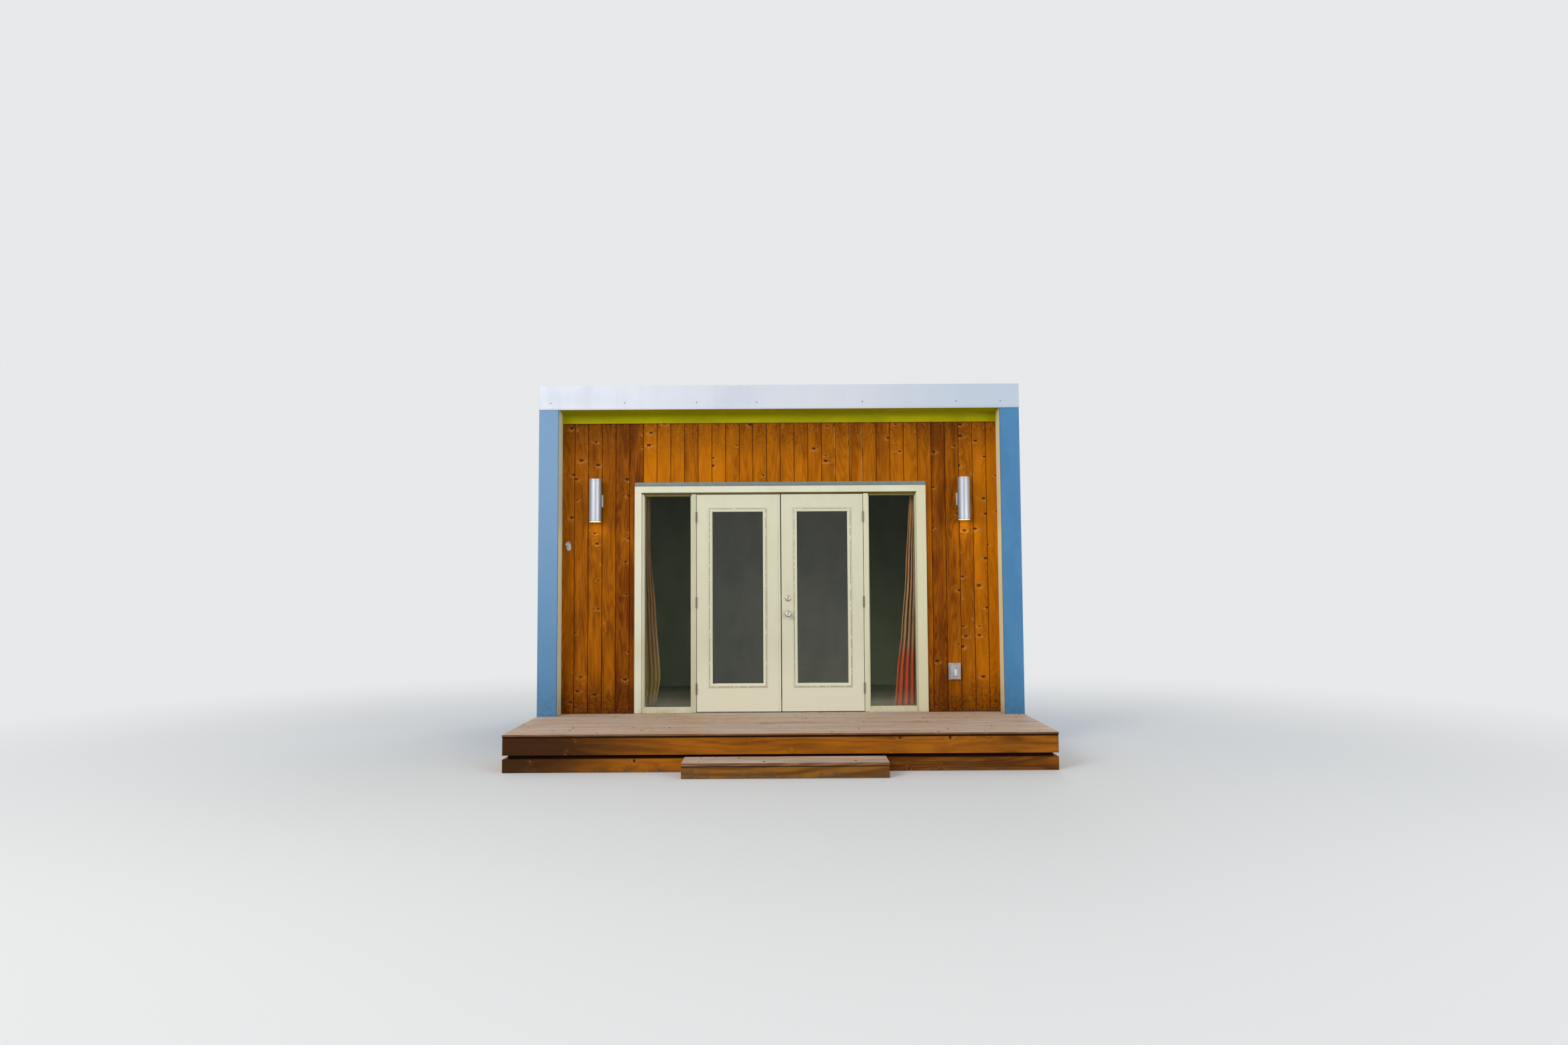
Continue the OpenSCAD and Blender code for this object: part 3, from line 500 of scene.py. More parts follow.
# The right end of the trims fades darker: painted shade.
galvanised = metal_finish("dull galvanised trim", (209, 213, 221), (194, 200, 213), metallic=0.3, rough=0.55,
                          streaky=0.25, gloss=0.2, right=(188, 198, 212))
roof_metal = metal_finish("galvanised roof sheet", (205, 210, 216), (172, 178, 186), metallic=0.5)
drip_metal = metal_finish("bare flashing", (122, 136, 135), (104, 117, 116), metallic=0.4)
mill_metal = metal_finish("threshold metal", (170, 168, 162), (128, 124, 118), metallic=0.8)
satin_nickel = metal_finish("satin nickel", (214, 206, 196), (184, 176, 166), metallic=1.0, rough=0.28)
hinge_metal = metal_finish("dull hinge steel", (128, 120, 108), (92, 86, 78), metallic=0.9)
brushed = metal_finish("brushed aluminium lights", (186, 189, 196), (174, 178, 186), metallic=0.7, rough=0.44,
                       streaky=0.3)
cast_metal = metal_finish("cast grey metal", (206, 202, 208), (162, 158, 164), metallic=0.85, rough=0.3)
screw_metal = metal_finish("screw heads", (150, 152, 156), (112, 114, 118), metallic=0.85)
deck_screw = metal_finish("weathered deck screws", (112, 92, 76), (76, 60, 50), rough=0.5)
print("finishes:", len(bpy.data.materials))

# %% Glass
def glass_finish(name, tint, ior, dust_and_reflection=0.0):
    """The last argument is the share of a thin pale film, up to 0.2 m over the sill, that each face of a pane
    carries: dust, and a painted reflection of the deck.
    """
    finish, tree, shader, place, xyz = new_finish(name)
    wire(shader, Base_Color=tint, Transmission_Weight=1.0, IOR=ior, Roughness=0.0)
    # The film is dust, and a painted reflection of the deck on the low panes.
    film = ramp(xyz[2], 0.36, 0.54, dust_and_reflection, 0.0) * ramp(cloud(place, 12.0, 4.0), 0.3, 0.7, 0.6, 1.0)
    dust_and_reflection_film = put(tree, "ShaderNodeBsdfDiffuse", {"Color": (186, 170, 160)})[0]
    clear = put(tree, "ShaderNodeBsdfTransparent", {0: (0.97, 0.98, 0.97, 1.0)})[0]
    shadow = put(tree, "ShaderNodeLightPath")["Is Shadow Ray"]
    give(tree.nodes["Material Output"].inputs["Surface"],
         blend(shadow, blend(film, Field(shader.outputs[0]), dust_and_reflection_film), clear))
    return finish


door_glass = glass_finish("door panes", (0.95, 0.97, 0.94, 1.0), 1.27)
side_glass = glass_finish("sidelight panes", (0.86, 0.93, 0.82, 1.0), 1.14, dust_and_reflection=0.06)
print("finishes:", len(bpy.data.materials))

# %% [markdown]
# Plastic, lamps and cloth finish the list. The outlet cover is moulded plastic
# with a fine grain, and the curtains are plain woven cloth, whose threads
# follow the cloth's own UV map.

# %% Plastic and lamps
def moulded_finish(name, colour, shade, rough=0.45):
    finish, _, shader, place, _ = new_finish(name)
    grime = ramp(cloud(place, 14.0, 5.0, 0.65), 0.4, 0.75)
    wire(shader, Base_Color=mixed(grime, colour, shade), Normal=bump(cloud(place, 900.0, 2.0), 0.00015),
         Roughness=ramp(grime, 0.0, 1.0, rough - 0.05, rough + 0.15))
    return finish


def lamp_finish(name, glow, strength, middle):
    """A frosted lens that glows. Below the height of middle it glows brighter than above it."""
    finish, _, shader, place, xyz = new_finish(name)
    frost = ramp(cloud(place, 60.0, 2.0), 0.2, 0.9)
    wire(shader, Base_Color=(236, 228, 208), Roughness=0.4,
         Emission_Color=mixed(frost, glow, (248, 246, 180)),
         Emission_Strength=ramp(xyz[2], middle - 0.1, middle + 0.1, strength, strength * 0.06))
    return finish


cover_plastic = moulded_finish("grey outlet cover", (176, 174, 176), (150, 148, 152))
rib_plastic = moulded_finish("pale outlet rib", (226, 226, 228), (204, 204, 208))
# The keyway is a black block on each lock face: painted shade for the dark slot.
keyway_painted_shade = moulded_finish("keyway", (20, 19, 18), (30, 28, 27), rough=0.6)
lens_glow = lamp_finish("frosted lens", (238, 244, 118), 9.0, 2.3)
print("finishes:", len(bpy.data.materials))

# %% Curtain cloth
THREAD = 0.0016


def cloth_finish(name, colour, fade, hem, hem_top, valley_shade):
    """Plain weave. The cloth is the colour of hem up to hem_top, and the last argument darkens its valleys,
    painted shade in the folds.
    """
    finish, tree, shader, _, xyz = new_finish(name)
    threads = put(tree, "ShaderNodeUVMap", uv_map="cloth")[0]
    u, v, _ = split(threads)
    weave = calc("SINE", u * (2 * math.pi / THREAD)) * calc("SINE", v * (2 * math.pi / THREAD))
    slub = cloud(point(u * 40.0, v * 900.0), 1.0, 2.0)
    patch = cloud(threads, 3.5, 4.0, 0.6)
    tint = mixed(ramp(patch + slub * 0.3, 0.35, 0.95), colour, fade)
    tint = mixed(ramp(xyz[2] + patch * 0.25, hem_top, hem_top + 0.22, 1.0, 0.0), tint, hem)
    # Painted shade in the valleys of the folds.
    tint = mixed(attribute(tree, "valley") * valley_shade, tint, (52, 30, 20))
    wire(shader, Base_Color=tint, Roughness=0.85, Sheen_Weight=0.25, Sheen_Roughness=0.5,
         Specular_IOR_Level=0.2, Normal=bump(weave + slub, 0.0002))
    return finish


left_cloth = cloth_finish("tan curtain cloth", (168, 110, 80), (150, 92, 64), (158, 112, 56), 0.75, 0.22)
right_cloth = cloth_finish("rust curtain cloth", (218, 146, 112), (188, 112, 82), (232, 70, 20), 0.86, 1.0)
print("finishes in all:", len(bpy.data.materials))

# %% [markdown]
# ## Helpers for meshes
#
# No edge on a real building is perfectly sharp. Carpenters ease board edges
# with a plane, and paint and rain round them further. Most CAD nodes have the
# right shape already, so one helper copies a node, finds its separate boards,
# gives each a number and a tone, bevels the edges and lets the copy stand for
# the node.

# %% Copies of CAD nodes
def bounds_of(verts):
    """Lowest and highest corner of some vertices."""
    return [Vector([pick(v.co[i] for v in verts) for i in range(3)]) for pick in (min, max)]


def node_copy(name):
    """A clean copy of a CAD node."""
    bm = bmesh.new()
    bm.from_mesh(NODES[name].data)
    bmesh.ops.remove_doubles(bm, verts=bm.verts, dist=1e-5)
    bmesh.ops.dissolve_limit(bm, angle_limit=math.radians(0.5), verts=bm.verts, edges=bm.edges)
    return bm


def solids(bm):
    """The separate solids of a mesh, low to high, front to back, left to right."""
    left, found = set(bm.verts), []
    while left:
        group, edge = set(), [left.pop()]
        while edge:
            vert = edge.pop()
            group.add(vert)
            for link in vert.link_edges:
                other = link.other_vert(vert)
                if other in left:
                    left.discard(other)
                    edge.append(other)
        found.append(group)
    return sorted(found, key=lambda g: tuple(round(c, 3) for c in reversed(bounds_of(g)[0])))


# %% Board numbers and eased edges
# Faces marked with this take the finish's darkest colour: a painted shadow line in an undercut, painted shade
# in a groove.
PAINTED_SHADOW = 5.0
SHARP = math.radians(30)


def face_layer(bm, name):
    """A number that each face carries into its finish."""
    return bm.faces.layers.float.get(name) or bm.faces.layers.float.new(name)


def number_boards(bm, tones=None, seed=1):
    """Gives each solid's faces a board number and a tone from 0 to 1."""
    dice = random.Random(seed)
    board, tone = face_layer(bm, "board"), face_layer(bm, "tone")
    for i, group in enumerate(solids(bm)):
        value = tones[i] if tones else dice.random()
        for face in {f for v in group for f in v.link_faces}:
            face[board], face[tone] = i + 1, value


def ease(bm, width, segments=2, only=None, marked=1.0):
    """Bevels the sharp edges and marks the new faces, so that a finish can wear them."""
    mark = face_layer(bm, "edge")
    edges = [e for e in bm.edges if e.is_manifold and e.calc_face_angle(0.0) > SHARP
             and (only is None or only(e))]
    made = bmesh.ops.bevel(bm, geom=edges, offset=width, offset_type="OFFSET", segments=segments,
                           profile=0.5, affect="EDGES", clamp_overlap=True, material=-1)
    for face in made["faces"]:
        face[mark] = marked


# %% Pieces
def make_piece(name, bm, finish, *nodes, smooth=None, extra=False, slot=None):
    """An object with the body of its nodes. It stands for them, unless it's extra. Slot is not used."""
    mesh = bpy.data.meshes.new(name)
    bm.to_mesh(mesh)
    bm.free()
    mesh.materials.append(finish)
    if smooth:
        mesh.shade_smooth()
        mesh.set_sharp_from_angle(angle=math.radians(smooth))
    piece = new_object(name, mesh)
    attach(piece, BODY_OF[nodes[0]])
    if not extra:
        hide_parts(*nodes)
    print(f"{name}: {len(mesh.polygons)} faces")
    return piece


# %% Blocks, slabs and cuts
def span(middle, half):
    return middle - half, middle + half


def rectangle(low, high, inset=0.0):
    """The ranges of a box in X and Z, less a margin."""
    return (low.x + inset, high.x - inset), (low.z + inset, high.z - inset)


def block(bm, *ranges):
    """A box from its ranges in X, Y and Z."""
    low, high = (Vector(corner) for corner in zip(*ranges))
    made = bmesh.ops.create_cube(bm, size=1.0)
    bmesh.ops.scale(bm, vec=high - low, verts=made["verts"])
    bmesh.ops.translate(bm, vec=(low + high) / 2, verts=made["verts"])


def outwards(bm):
    bmesh.ops.recalc_face_normals(bm, faces=bm.faces)


def thicken(bm, faces, depth):
    """Gives faces that look along Y a thickness."""
    made = bmesh.ops.extrude_face_region(bm, geom=faces)
    moved = [g for g in made["geom"] if isinstance(g, bmesh.types.BMVert)]
    bmesh.ops.translate(bm, verts=moved, vec=(0, depth, 0))


def board_from(bm, outline, front, back):
    """A board from its outline in X and Z, cut out and then given its thickness."""
    thicken(bm, [bm.faces.new([bm.verts.new((x, front, z)) for x, z in outline])], back - front)


def slab_with_opening(bm, outer, inner, front, back):
    """A flat slab from its ranges in X and Z and those of its opening: nine cells without the middle one."""
    made = bmesh.ops.create_grid(bm, x_segments=3, y_segments=3, size=0.5)
    columns, rows = ((a, c, d, b) for (a, b), (c, d) in zip(outer, inner))
    for vert in made["verts"]:
        column, row = (round((vert.co[i] + 0.5) * 3) for i in (0, 1))
        vert.co = (columns[column], front, rows[row])
    faces = sorted({f for v in made["verts"] for f in v.link_faces},
                   key=lambda f: (round(f.calc_center_median().z, 4), round(f.calc_center_median().x, 4)))
    bmesh.ops.delete(bm, geom=[faces.pop(4)], context="FACES_ONLY")
    thicken(bm, faces, back - front)
    outwards(bm)


def cut_lines(bm, axis, values):
    """Cuts a mesh across an axis at each value, without parting it."""
    normal = Vector([float(axis == name) for name in "XYZ"])
    for value in values:
        bmesh.ops.bisect_plane(bm, geom=[*bm.verts, *bm.edges, *bm.faces],
                               plane_co=normal * value, plane_no=normal, dist=1e-6)


def spaced(low, high, pitch):
    """Evenly spaced values between low and high, near pitch apart, without the ends."""
    count = max(1, round((high - low) / pitch))
    return [low + (high - low) * i / count for i in range(1, count)]


# %% [markdown]
# ## The stained cladding
#
# Behind the recess the wall is clad with upright boards, each 128 mm wide.
# One joint lies just right of the middle, and the rest follow from it.
# They are separate pieces of softwood, so each is cut as its own board: an
# outline, its thickness, and eased front edges that make the vee at each
# joint. The two boards that meet the door frame's corners are notched round
# it. Each board's tone is either pale, middling or dark, as in a real pack of
# boards.

# %% Cladding boards
PITCH, MIDDLE_JOINT, GAP = 0.1283, 0.009, 0.0009
PALE_BOARDS = {-10: 0.04, -9: 0.14, -8: 0.25, -6: 0.06, -5: 0.2, -4: 0.24, 13: 0.56, 14: 0.28, 15: 0.12}
DARK_BOARDS = {-16: 0.62, -15: 0.72, -14: 0.68, -13: 0.72, -12: 0.95, -11: 1.0, -7: 0.5,
               10: 0.7, 11: 1.0, 12: 0.78}
KNOTTY_BOARDS = {-16: 0.6, -15: 0.75, -14: 0.45, 12: 0.3, 13: 0.75, 14: 0.95, 15: 0.75}
BARE_JOINTS = (4, 5, 6)
TONES = {**PALE_BOARDS, **DARK_BOARDS}
FIRST_NUMBER = 21
side_low, side_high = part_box("cladding_beside_doors")
over_low, over_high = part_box("cladding_over_doors")
wall_end, opening_end, top_z = side_high.x, over_high.x, over_high.z
first_board = math.floor((-wall_end - MIDDLE_JOINT) / PITCH)
cladding_dice = random.Random(7)
cladding, tones = bmesh.new(), []
for index in range(first_board, math.ceil((wall_end - MIDDLE_JOINT) / PITCH)):
    left = max(MIDDLE_JOINT + index * PITCH + GAP, -wall_end)
    right = min(MIDDLE_JOINT + (index + 1) * PITCH - GAP, wall_end)
    foot = side_low.z + cladding_dice.uniform(0, 0.004)
    outline = [(x, over_low.z if abs(x) < opening_end else foot) for x in (left, right)]
    if outline[0][1] != outline[1][1]:
        corner = math.copysign(opening_end, left)
        outline[1:1] = [(corner, outline[0][1]), (corner, outline[1][1])]
    board_from(cladding, outline + [(right, top_z), (left, top_z)], 0.0, side_high.y)
    tones.append(TONES.get(index, cladding_dice.uniform(0.3, 0.62)))
outwards(cladding)
print("boards:", len(tones))

# %% Numbers, tones and bare spots of the boards
board, tone, knotty, bare = (face_layer(cladding, name) for name in ("board", "tone", "knotty", "bare"))
for group in solids(cladding):
    low, high = bounds_of(group)
    index = math.floor(((low.x + high.x) / 2 - MIDDLE_JOINT) / PITCH)
    for face in {f for v in group for f in v.link_faces}:
        face[board] = index - first_board + FIRST_NUMBER
        face[tone] = tones[index - first_board]
        face[knotty] = KNOTTY_BOARDS.get(index, 0.22)
ease(cladding, 0.0042, only=lambda e: all(abs(v.co.y) < 1e-6 for v in e.verts)
     and abs(e.verts[0].co.z - e.verts[1].co.z) > 0.1)
edge = face_layer(cladding, "edge")
for face in cladding.faces:
    centre = face.calc_center_median()
    if face[edge] and centre.z > over_low.z and any(
            -0.006 < centre.x - MIDDLE_JOINT - j * PITCH < 0 for j in BARE_JOINTS):
        face[bare] = 1.0
make_piece("cladding_boards", cladding, stained_cladding, "cladding_beside_doors", "cladding_over_doors")

# %% [markdown]
# ## Boards that only need their edges eased
#
# Trim, frame, deck and framing already have their boards as separate solids
# in the CAD. They are copied with an ease that suits each: 2 mm on rough
# edge boards, 1.5 mm on planed trim, 3 mm on the deck, where feet land.

# %% A copy with eased edges
SIDING_PITCH, STRIP_START = 0.203, 0.37
SKIRT_TOP, NEXT_BOARD = 0.12, 9


def eased(node, finish, width=0.0015, segments=2, seed=1, tones=None, smooth=None, sides=0.0,
          strips=None, undercut=0.0, lip=0.0, joint=None):
    """A copy of a CAD node with numbered boards and eased edges, which stands for it.

    Sides darkens the faces that don't look up or down. Strips is the axis that grooved boards follow.
    Undercut cuts off the top front edge and lip the bottom one. The cut faces are painted dark, a painted
    shadow line under the overhang.
    Joint is where a low board meets the next one, which is unbleached."""
    bm = node_copy(node)
    number_boards(bm, tones, seed)
    board, tone = face_layer(bm, "board"), face_layer(bm, "tone")
    for face in bm.faces:
        if abs(face.normal.z) < 0.5:
            face[tone] += sides
        if strips:
            strip = face.calc_center_median()["XYZ".index(strips)] / SIDING_PITCH
            face[tone] = random.Random(math.floor(strip + STRIP_START)).random()
    if joint is not None:
        cut_lines(bm, "X", [joint])
        for face in bm.faces:
            centre = face.calc_center_median()
            if centre.x > joint and centre.z < SKIRT_TOP:
                face[board] += NEXT_BOARD
                face[tone] = UNBLEACHED
    cut_edges = set()
    if undercut or lip:
        low, high = bounds_of(bm.verts)
        level = high.z if undercut else low.z
        ease(bm, undercut or lip, 1, marked=PAINTED_SHADOW,
             only=lambda e: all(abs(v.co.y - low.y) + abs(v.co.z - level) < 1e-4 for v in e.verts))
        mark = face_layer(bm, "edge")
        cut_edges = {e for f in bm.faces if f[mark] == PAINTED_SHADOW for e in f.edges}
    ease(bm, width, segments, only=lambda e: e not in cut_edges)
    make_piece(node + ".eased", bm, finish, node, smooth=smooth)


def dress(node, finish):
    """A CAD node whose shape is right as it is only gets its finish."""
    slots = NODES[node].data.materials
    slots.clear()
    slots.append(finish)


# %% Painted trim and frame
for node, finish, width in (
        ("front_edge_boards", blue_paint, 0.002), ("recess_boards", recess_paint_with_warm_light, 0.0015),
        ("frieze_board", olive_paint_shaded_top, 0.0015), ("porch_ceiling", soffit_paint_shaded, 0.001),
        ("casing_sides", cream_paint_shaded_right, 0.0022), ("casing_head", cream_paint_shaded_right, 0.0022),
        ("frame_jambs", cream_paint_shaded_right, 0.0015), ("frame_posts", post_paint_shaded_left, 0.0015),
        ("frame_head", head_painted_shade, 0.0015), ("sidelight_sills", cream_paint_shaded_right, 0.002),
        ("sidelight_stops", stop_paint_shaded_top, 0.002), ("drip_cap", drip_metal, 0.0006)):
    eased(node, finish, width)
eased("back_siding", blue_paint, 0.0008, strips="X")
eased("side_siding", blue_paint, 0.0008, strips="Y")

# %% Deck, step and framing
# The lip under the deck nosing and the undercuts on the rims and the riser are painted shadow lines.
eased("deck_boards", weathered_deck, 0.003, seed=3, sides=0.9, lip=0.011,
      tones=[0.55, 0.35, 0.6, 0.5, 0.85, 0.3, 0.55, 0.45, 0.5, 0.6])
eased("step_treads", weathered_deck, 0.003, tones=[0.8, 0.7], sides=0.5)
eased("deck_front_rims", stained_rims, 0.0025, tones=[0.25, 0.5], undercut=0.007, joint=0.3)
eased("deck_side_rims", stained_side_rims, 0.0025)
eased("step_riser", stained_riser, 0.0025, undercut=0.008)
eased("step_bearers", stained_side_rims, 0.002)
eased("ground_bearers", bearers_painted_as_shade, 0.003)
eased("floor_rims", sawn_timber, 0.002)
eased("floor_joists", sawn_joists, 0.002)
eased("deck_joists", joists_painted_as_shade, 0.002)
dress("sub_fascia", sawn_timber)
for wall in ("roof_panel", "side_walls", "back_wall", "front_wall_piers", "front_wall_header",
             "room_ceiling"):
    dress(wall, lining_paint)

# %% [markdown]
# ## Floor boards and threshold
#
# The room's floor is painted boards, and the threshold has fluted treads. The
# CAD has one slab for each, so its copy is cut at each joint and the middle of
# every cut is pressed down into a groove.

# %% Grooved slabs
def press_grooves(bm, values, width, depth):
    """Makes a vee groove at each value of Y, on faces that look up."""
    cut_lines(bm, "Y", [v + d for v in values for d in (-width / 2, 0.0, width / 2)])
    for vert in bm.verts:
        near = min(abs(v - vert.co.y) for v in values)
        if near < 1e-5 and any(f.normal.z > 0.9 for f in vert.link_faces):
            vert.co.z -= depth


floor = node_copy("floor_boards")
floor_low, floor_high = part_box("floor_boards")
press_grooves(floor, spaced(floor_low.y + 0.1, floor_high.y, 0.11), 0.004, 0.003)
number_boards(floor)
make_piece("floor_boards.grooved", floor, floor_paint_shaded_back, "floor_boards")

# %% [markdown]
# ## Door leaves
#
# A glazed steel or fibreglass door has no joints on its face: stiles and rails
# are pressed as one skin with an opening for the glass. Each leaf is one slab
# with an opening. The raised frame that holds the glass is a moulding screwed
# on from both sides, so it stays a separate piece with rounder edges and a
# fine groove all round.

# %% Leaves, lite frames and the meeting strip
def press_ring(bm, inset, width, depth):
    """Makes a vee groove all round a frame's two faces, inset from its outer edge, and marks it for painted
    shade.
    """
    low, high = bounds_of(bm.verts)

    def inside(spot):
        return min(spot.x - low.x, high.x - spot.x, spot.z - low.z, high.z - spot.z)

    steps = [inset + step for step in (-width / 2, 0.0, width / 2)]
    cut_lines(bm, "X", [low.x + step for step in steps] + [high.x - step for step in steps])
    cut_lines(bm, "Z", [low.z + step for step in steps] + [high.z - step for step in steps])
    mark = face_layer(bm, "edge")
    for face in bm.faces:
        if abs(face.normal.y) > 0.99 and abs(inside(face.calc_center_median()) - inset) < width / 2:
            face[mark] = PAINTED_SHADOW
    for vert in bm.verts:
        if abs(inside(vert.co) - inset) < 1e-5:
            if abs(vert.co.y - low.y) < 1e-4:
                vert.co.y += depth
            elif abs(vert.co.y - high.y) < 1e-4:
                vert.co.y -= depth


for side in ("left_door", "right_door"):
    low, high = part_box(side + "_stiles")
    leaf, frames = bmesh.new(), node_copy(side + "_lite_frames")
    slab_with_opening(leaf, rectangle(low, high), rectangle(*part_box(side + "_glass")), low.y, high.y)
    number_boards(leaf)
    ease(leaf, 0.0018, 3)
    make_piece(side + "_leaf", leaf, door_paint, side + "_stiles", side + "_rails")
    number_boards(frames)
    ease(frames, 0.0022, 3, marked=0.0)
    press_ring(frames, 0.0105, 0.005, 0.003)
    make_piece(side + "_lite_frames.eased", frames, lite_paint, side + "_lite_frames", smooth=50)
eased("left_door_astragal", door_paint, 0.0018, 3)

# %% [markdown]
# ## Double glazing
#
# A sealed unit is two thin panes with a metal spacer round the rim. Two panes
# give the double reflection of a real window, which one thick block doesn't.

# %% Panes and spacers
THICK, RIM = 0.004, 0.011


def spans(node):
    """The boxes of a node's solids."""
    bm = node_copy(node)
    boxes = [bounds_of(g) for g in solids(bm)]
    bm.free()
    return boxes


for node, finish in (("left_door_glass", door_glass), ("right_door_glass", door_glass),
                     ("sidelight_glass", side_glass)):
    panes, spacer = bmesh.new(), bmesh.new()
    for low, high in spans(node):
        for front in (low.y, high.y - THICK):
            block(panes, (low.x, high.x), (front, front + THICK), (low.z, high.z))
        slab_with_opening(spacer, rectangle(low, high), rectangle(low, high, RIM),
                          low.y + THICK, high.y - THICK)
    make_piece(node + ".panes", panes, finish, node)
    ease(spacer, 0.0008, 1)
    make_piece(node + ".spacer", spacer, mill_metal, node, extra=True)

# %% [markdown]
# ## Hinges and locks
#
# The hinge barrels show beside each leaf, and their plates show when a door stands open, so the plates carry
# screws. The knob and the deadbolt are turned shapes: a profile spun about its axis. Each keyway is a thin
# black block in the face, painted shade that stands for the dark slot.

# %% Hinges and their screws
def aimed(centre, facing):
    """The matrix that moves the origin to centre and turns Z to facing."""
    turn = Vector((0, 0, 1)).rotation_difference(Vector(facing))
    return Matrix.Translation(Vector(centre)) @ turn.to_matrix().to_4x4()


def screw_head(bm, centre, facing, radius, rise, sides=10):
    """A low domed screw head that faces along facing."""
    middle = Vector(centre) + Vector(facing) * rise / 2
    bmesh.ops.create_cone(bm, cap_ends=True, segments=sides, radius1=radius, radius2=radius * 0.72,
                          depth=rise, matrix=aimed(middle, facing))


for node in ("frame_hinges", "left_door_hinges", "right_door_hinges"):
    eased(node, hinge_metal, 0.0004, smooth=40)
for side, sign in (("left_door", -1), ("right_door", 1)):
    screws = bmesh.new()
    low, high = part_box(side + "_hinges")
    plate_x = (low.x if sign > 0 else high.x) + sign * 0.002
    for a, b in spans(side + "_hinges"):
        for share, inset in ((0.14, 0.024), (0.5, 0.017), (0.86, 0.024)):
            centre = (plate_x, b.y - inset, a.z + (b.z - a.z) * share)
            screw_head(screws, centre, (sign, 0, 0), 0.0042, 0.0006)
    make_piece(side + "_hinge_screws", screws, screw_metal, side + "_hinges", extra=True)

# %% Knob and deadbolt
KNOB = [(0.031, 0.0), (0.0315, 0.002), (0.0305, 0.004), (0.027, 0.0068), (0.0262, 0.0078), (0.016, 0.0098),
        (0.0128, 0.012), (0.0112, 0.016), (0.0108, 0.021), (0.0118, 0.027), (0.0146, 0.0312),
        (0.0204, 0.0345), (0.0262, 0.0392), (0.0296, 0.0448), (0.0308, 0.051), (0.0298, 0.0565),
        (0.0268, 0.061), (0.0222, 0.0642), (0.0186, 0.0655), (0.0172, 0.065), (0.0160, 0.0634),
        (0.0150, 0.0630), (0.0, 0.0632)]
BOLT = [(0.029, 0.0), (0.0295, 0.0015), (0.0288, 0.0034), (0.0262, 0.0088), (0.0236, 0.0118),
        (0.0205, 0.0131), (0.0178, 0.0139), (0.0170, 0.0152), (0.0164, 0.0192), (0.0156, 0.0200),
        (0.0142, 0.0200), (0.0136, 0.0194), (0.0126, 0.0192), (0.0, 0.0194)]
ROSE = [(0.027, 0.0), (0.0274, 0.0014), (0.0264, 0.0040), (0.0230, 0.0058), (0.0, 0.0062)]


def turned_part(profile, centre, facing, steps=56):
    """A bmesh of a profile turned round an axis that starts at centre and points along facing."""
    bm = bmesh.new()
    rim = [bm.verts.new((r, 0, z)) for r, z in profile]
    edges = [bm.edges.new(pair) for pair in zip(rim, rim[1:])]
    bmesh.ops.spin(bm, geom=rim + edges, cent=(0, 0, 0), axis=(0, 0, 1), angle=2 * math.pi,
                   steps=steps, use_merge=True)
    bmesh.ops.remove_doubles(bm, verts=bm.verts, dist=1e-6)
    bmesh.ops.holes_fill(bm, edges=[e for e in bm.edges if e.is_boundary])
    outwards(bm)
    bmesh.ops.transform(bm, matrix=aimed(centre, facing), verts=bm.verts)
    return bm


def eased_block(x, y, z, width, segments):
    bm = bmesh.new()
    block(bm, x, y, z)
    ease(bm, width, segments)
    return bm


def join(bm, *others):
    """Adds other bmeshes to this one."""
    for other in others:
        spare = bpy.data.meshes.new("spare")
        other.to_mesh(spare)
        other.free()
        bm.from_mesh(spare)
        bpy.data.meshes.remove(spare)


# %% Locks and keyways
leaf_low, leaf_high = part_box("right_door_stiles")
lock_low, lock_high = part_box("right_door_locks")
lock_x = (lock_low.x + lock_high.x) / 2
knob_z, bolt_z = lock_low.z + 0.031, lock_high.z - 0.029
edge_x, face_y, back_y = leaf_low.x, leaf_low.y, leaf_high.y
locks = turned_part(KNOB, (lock_x, face_y, knob_z), (0, -1, 0))
join(locks, turned_part(KNOB, (lock_x, back_y, knob_z), (0, 1, 0)),
     turned_part(BOLT, (lock_x, face_y, bolt_z), (0, -1, 0)),
     turned_part(ROSE, (lock_x, back_y, bolt_z), (0, 1, 0)),
     eased_block(span(lock_x, 0.004), (back_y + 0.006, back_y + 0.022), span(bolt_z, 0.016), 0.0028, 3))
make_piece("door_locks", locks, satin_nickel, "right_door_locks", smooth=35)
# Black blocks on the faces stand for the keyways' shade.
keyways = bmesh.new()
for z, proud in ((knob_z, KNOB[-1][1]), (bolt_z, BOLT[-1][1])):
    slot = (face_y - proud - 0.0003, face_y - proud + 0.001)
    block(keyways, span(lock_x, 0.0011), slot, span(z, 0.0045))
    block(keyways, span(lock_x, 0.0019), slot, (z + 0.0012, z + 0.0030))
make_piece("keyways", keyways, keyway_painted_shade, "right_door_locks", extra=True)

# %% [markdown]
# The latch and the bolt run through small plates let into the meeting edges.
# They are thin, but they are the dark spots that the eye finds on the joint
# between the leaves, and they show when a door stands open.

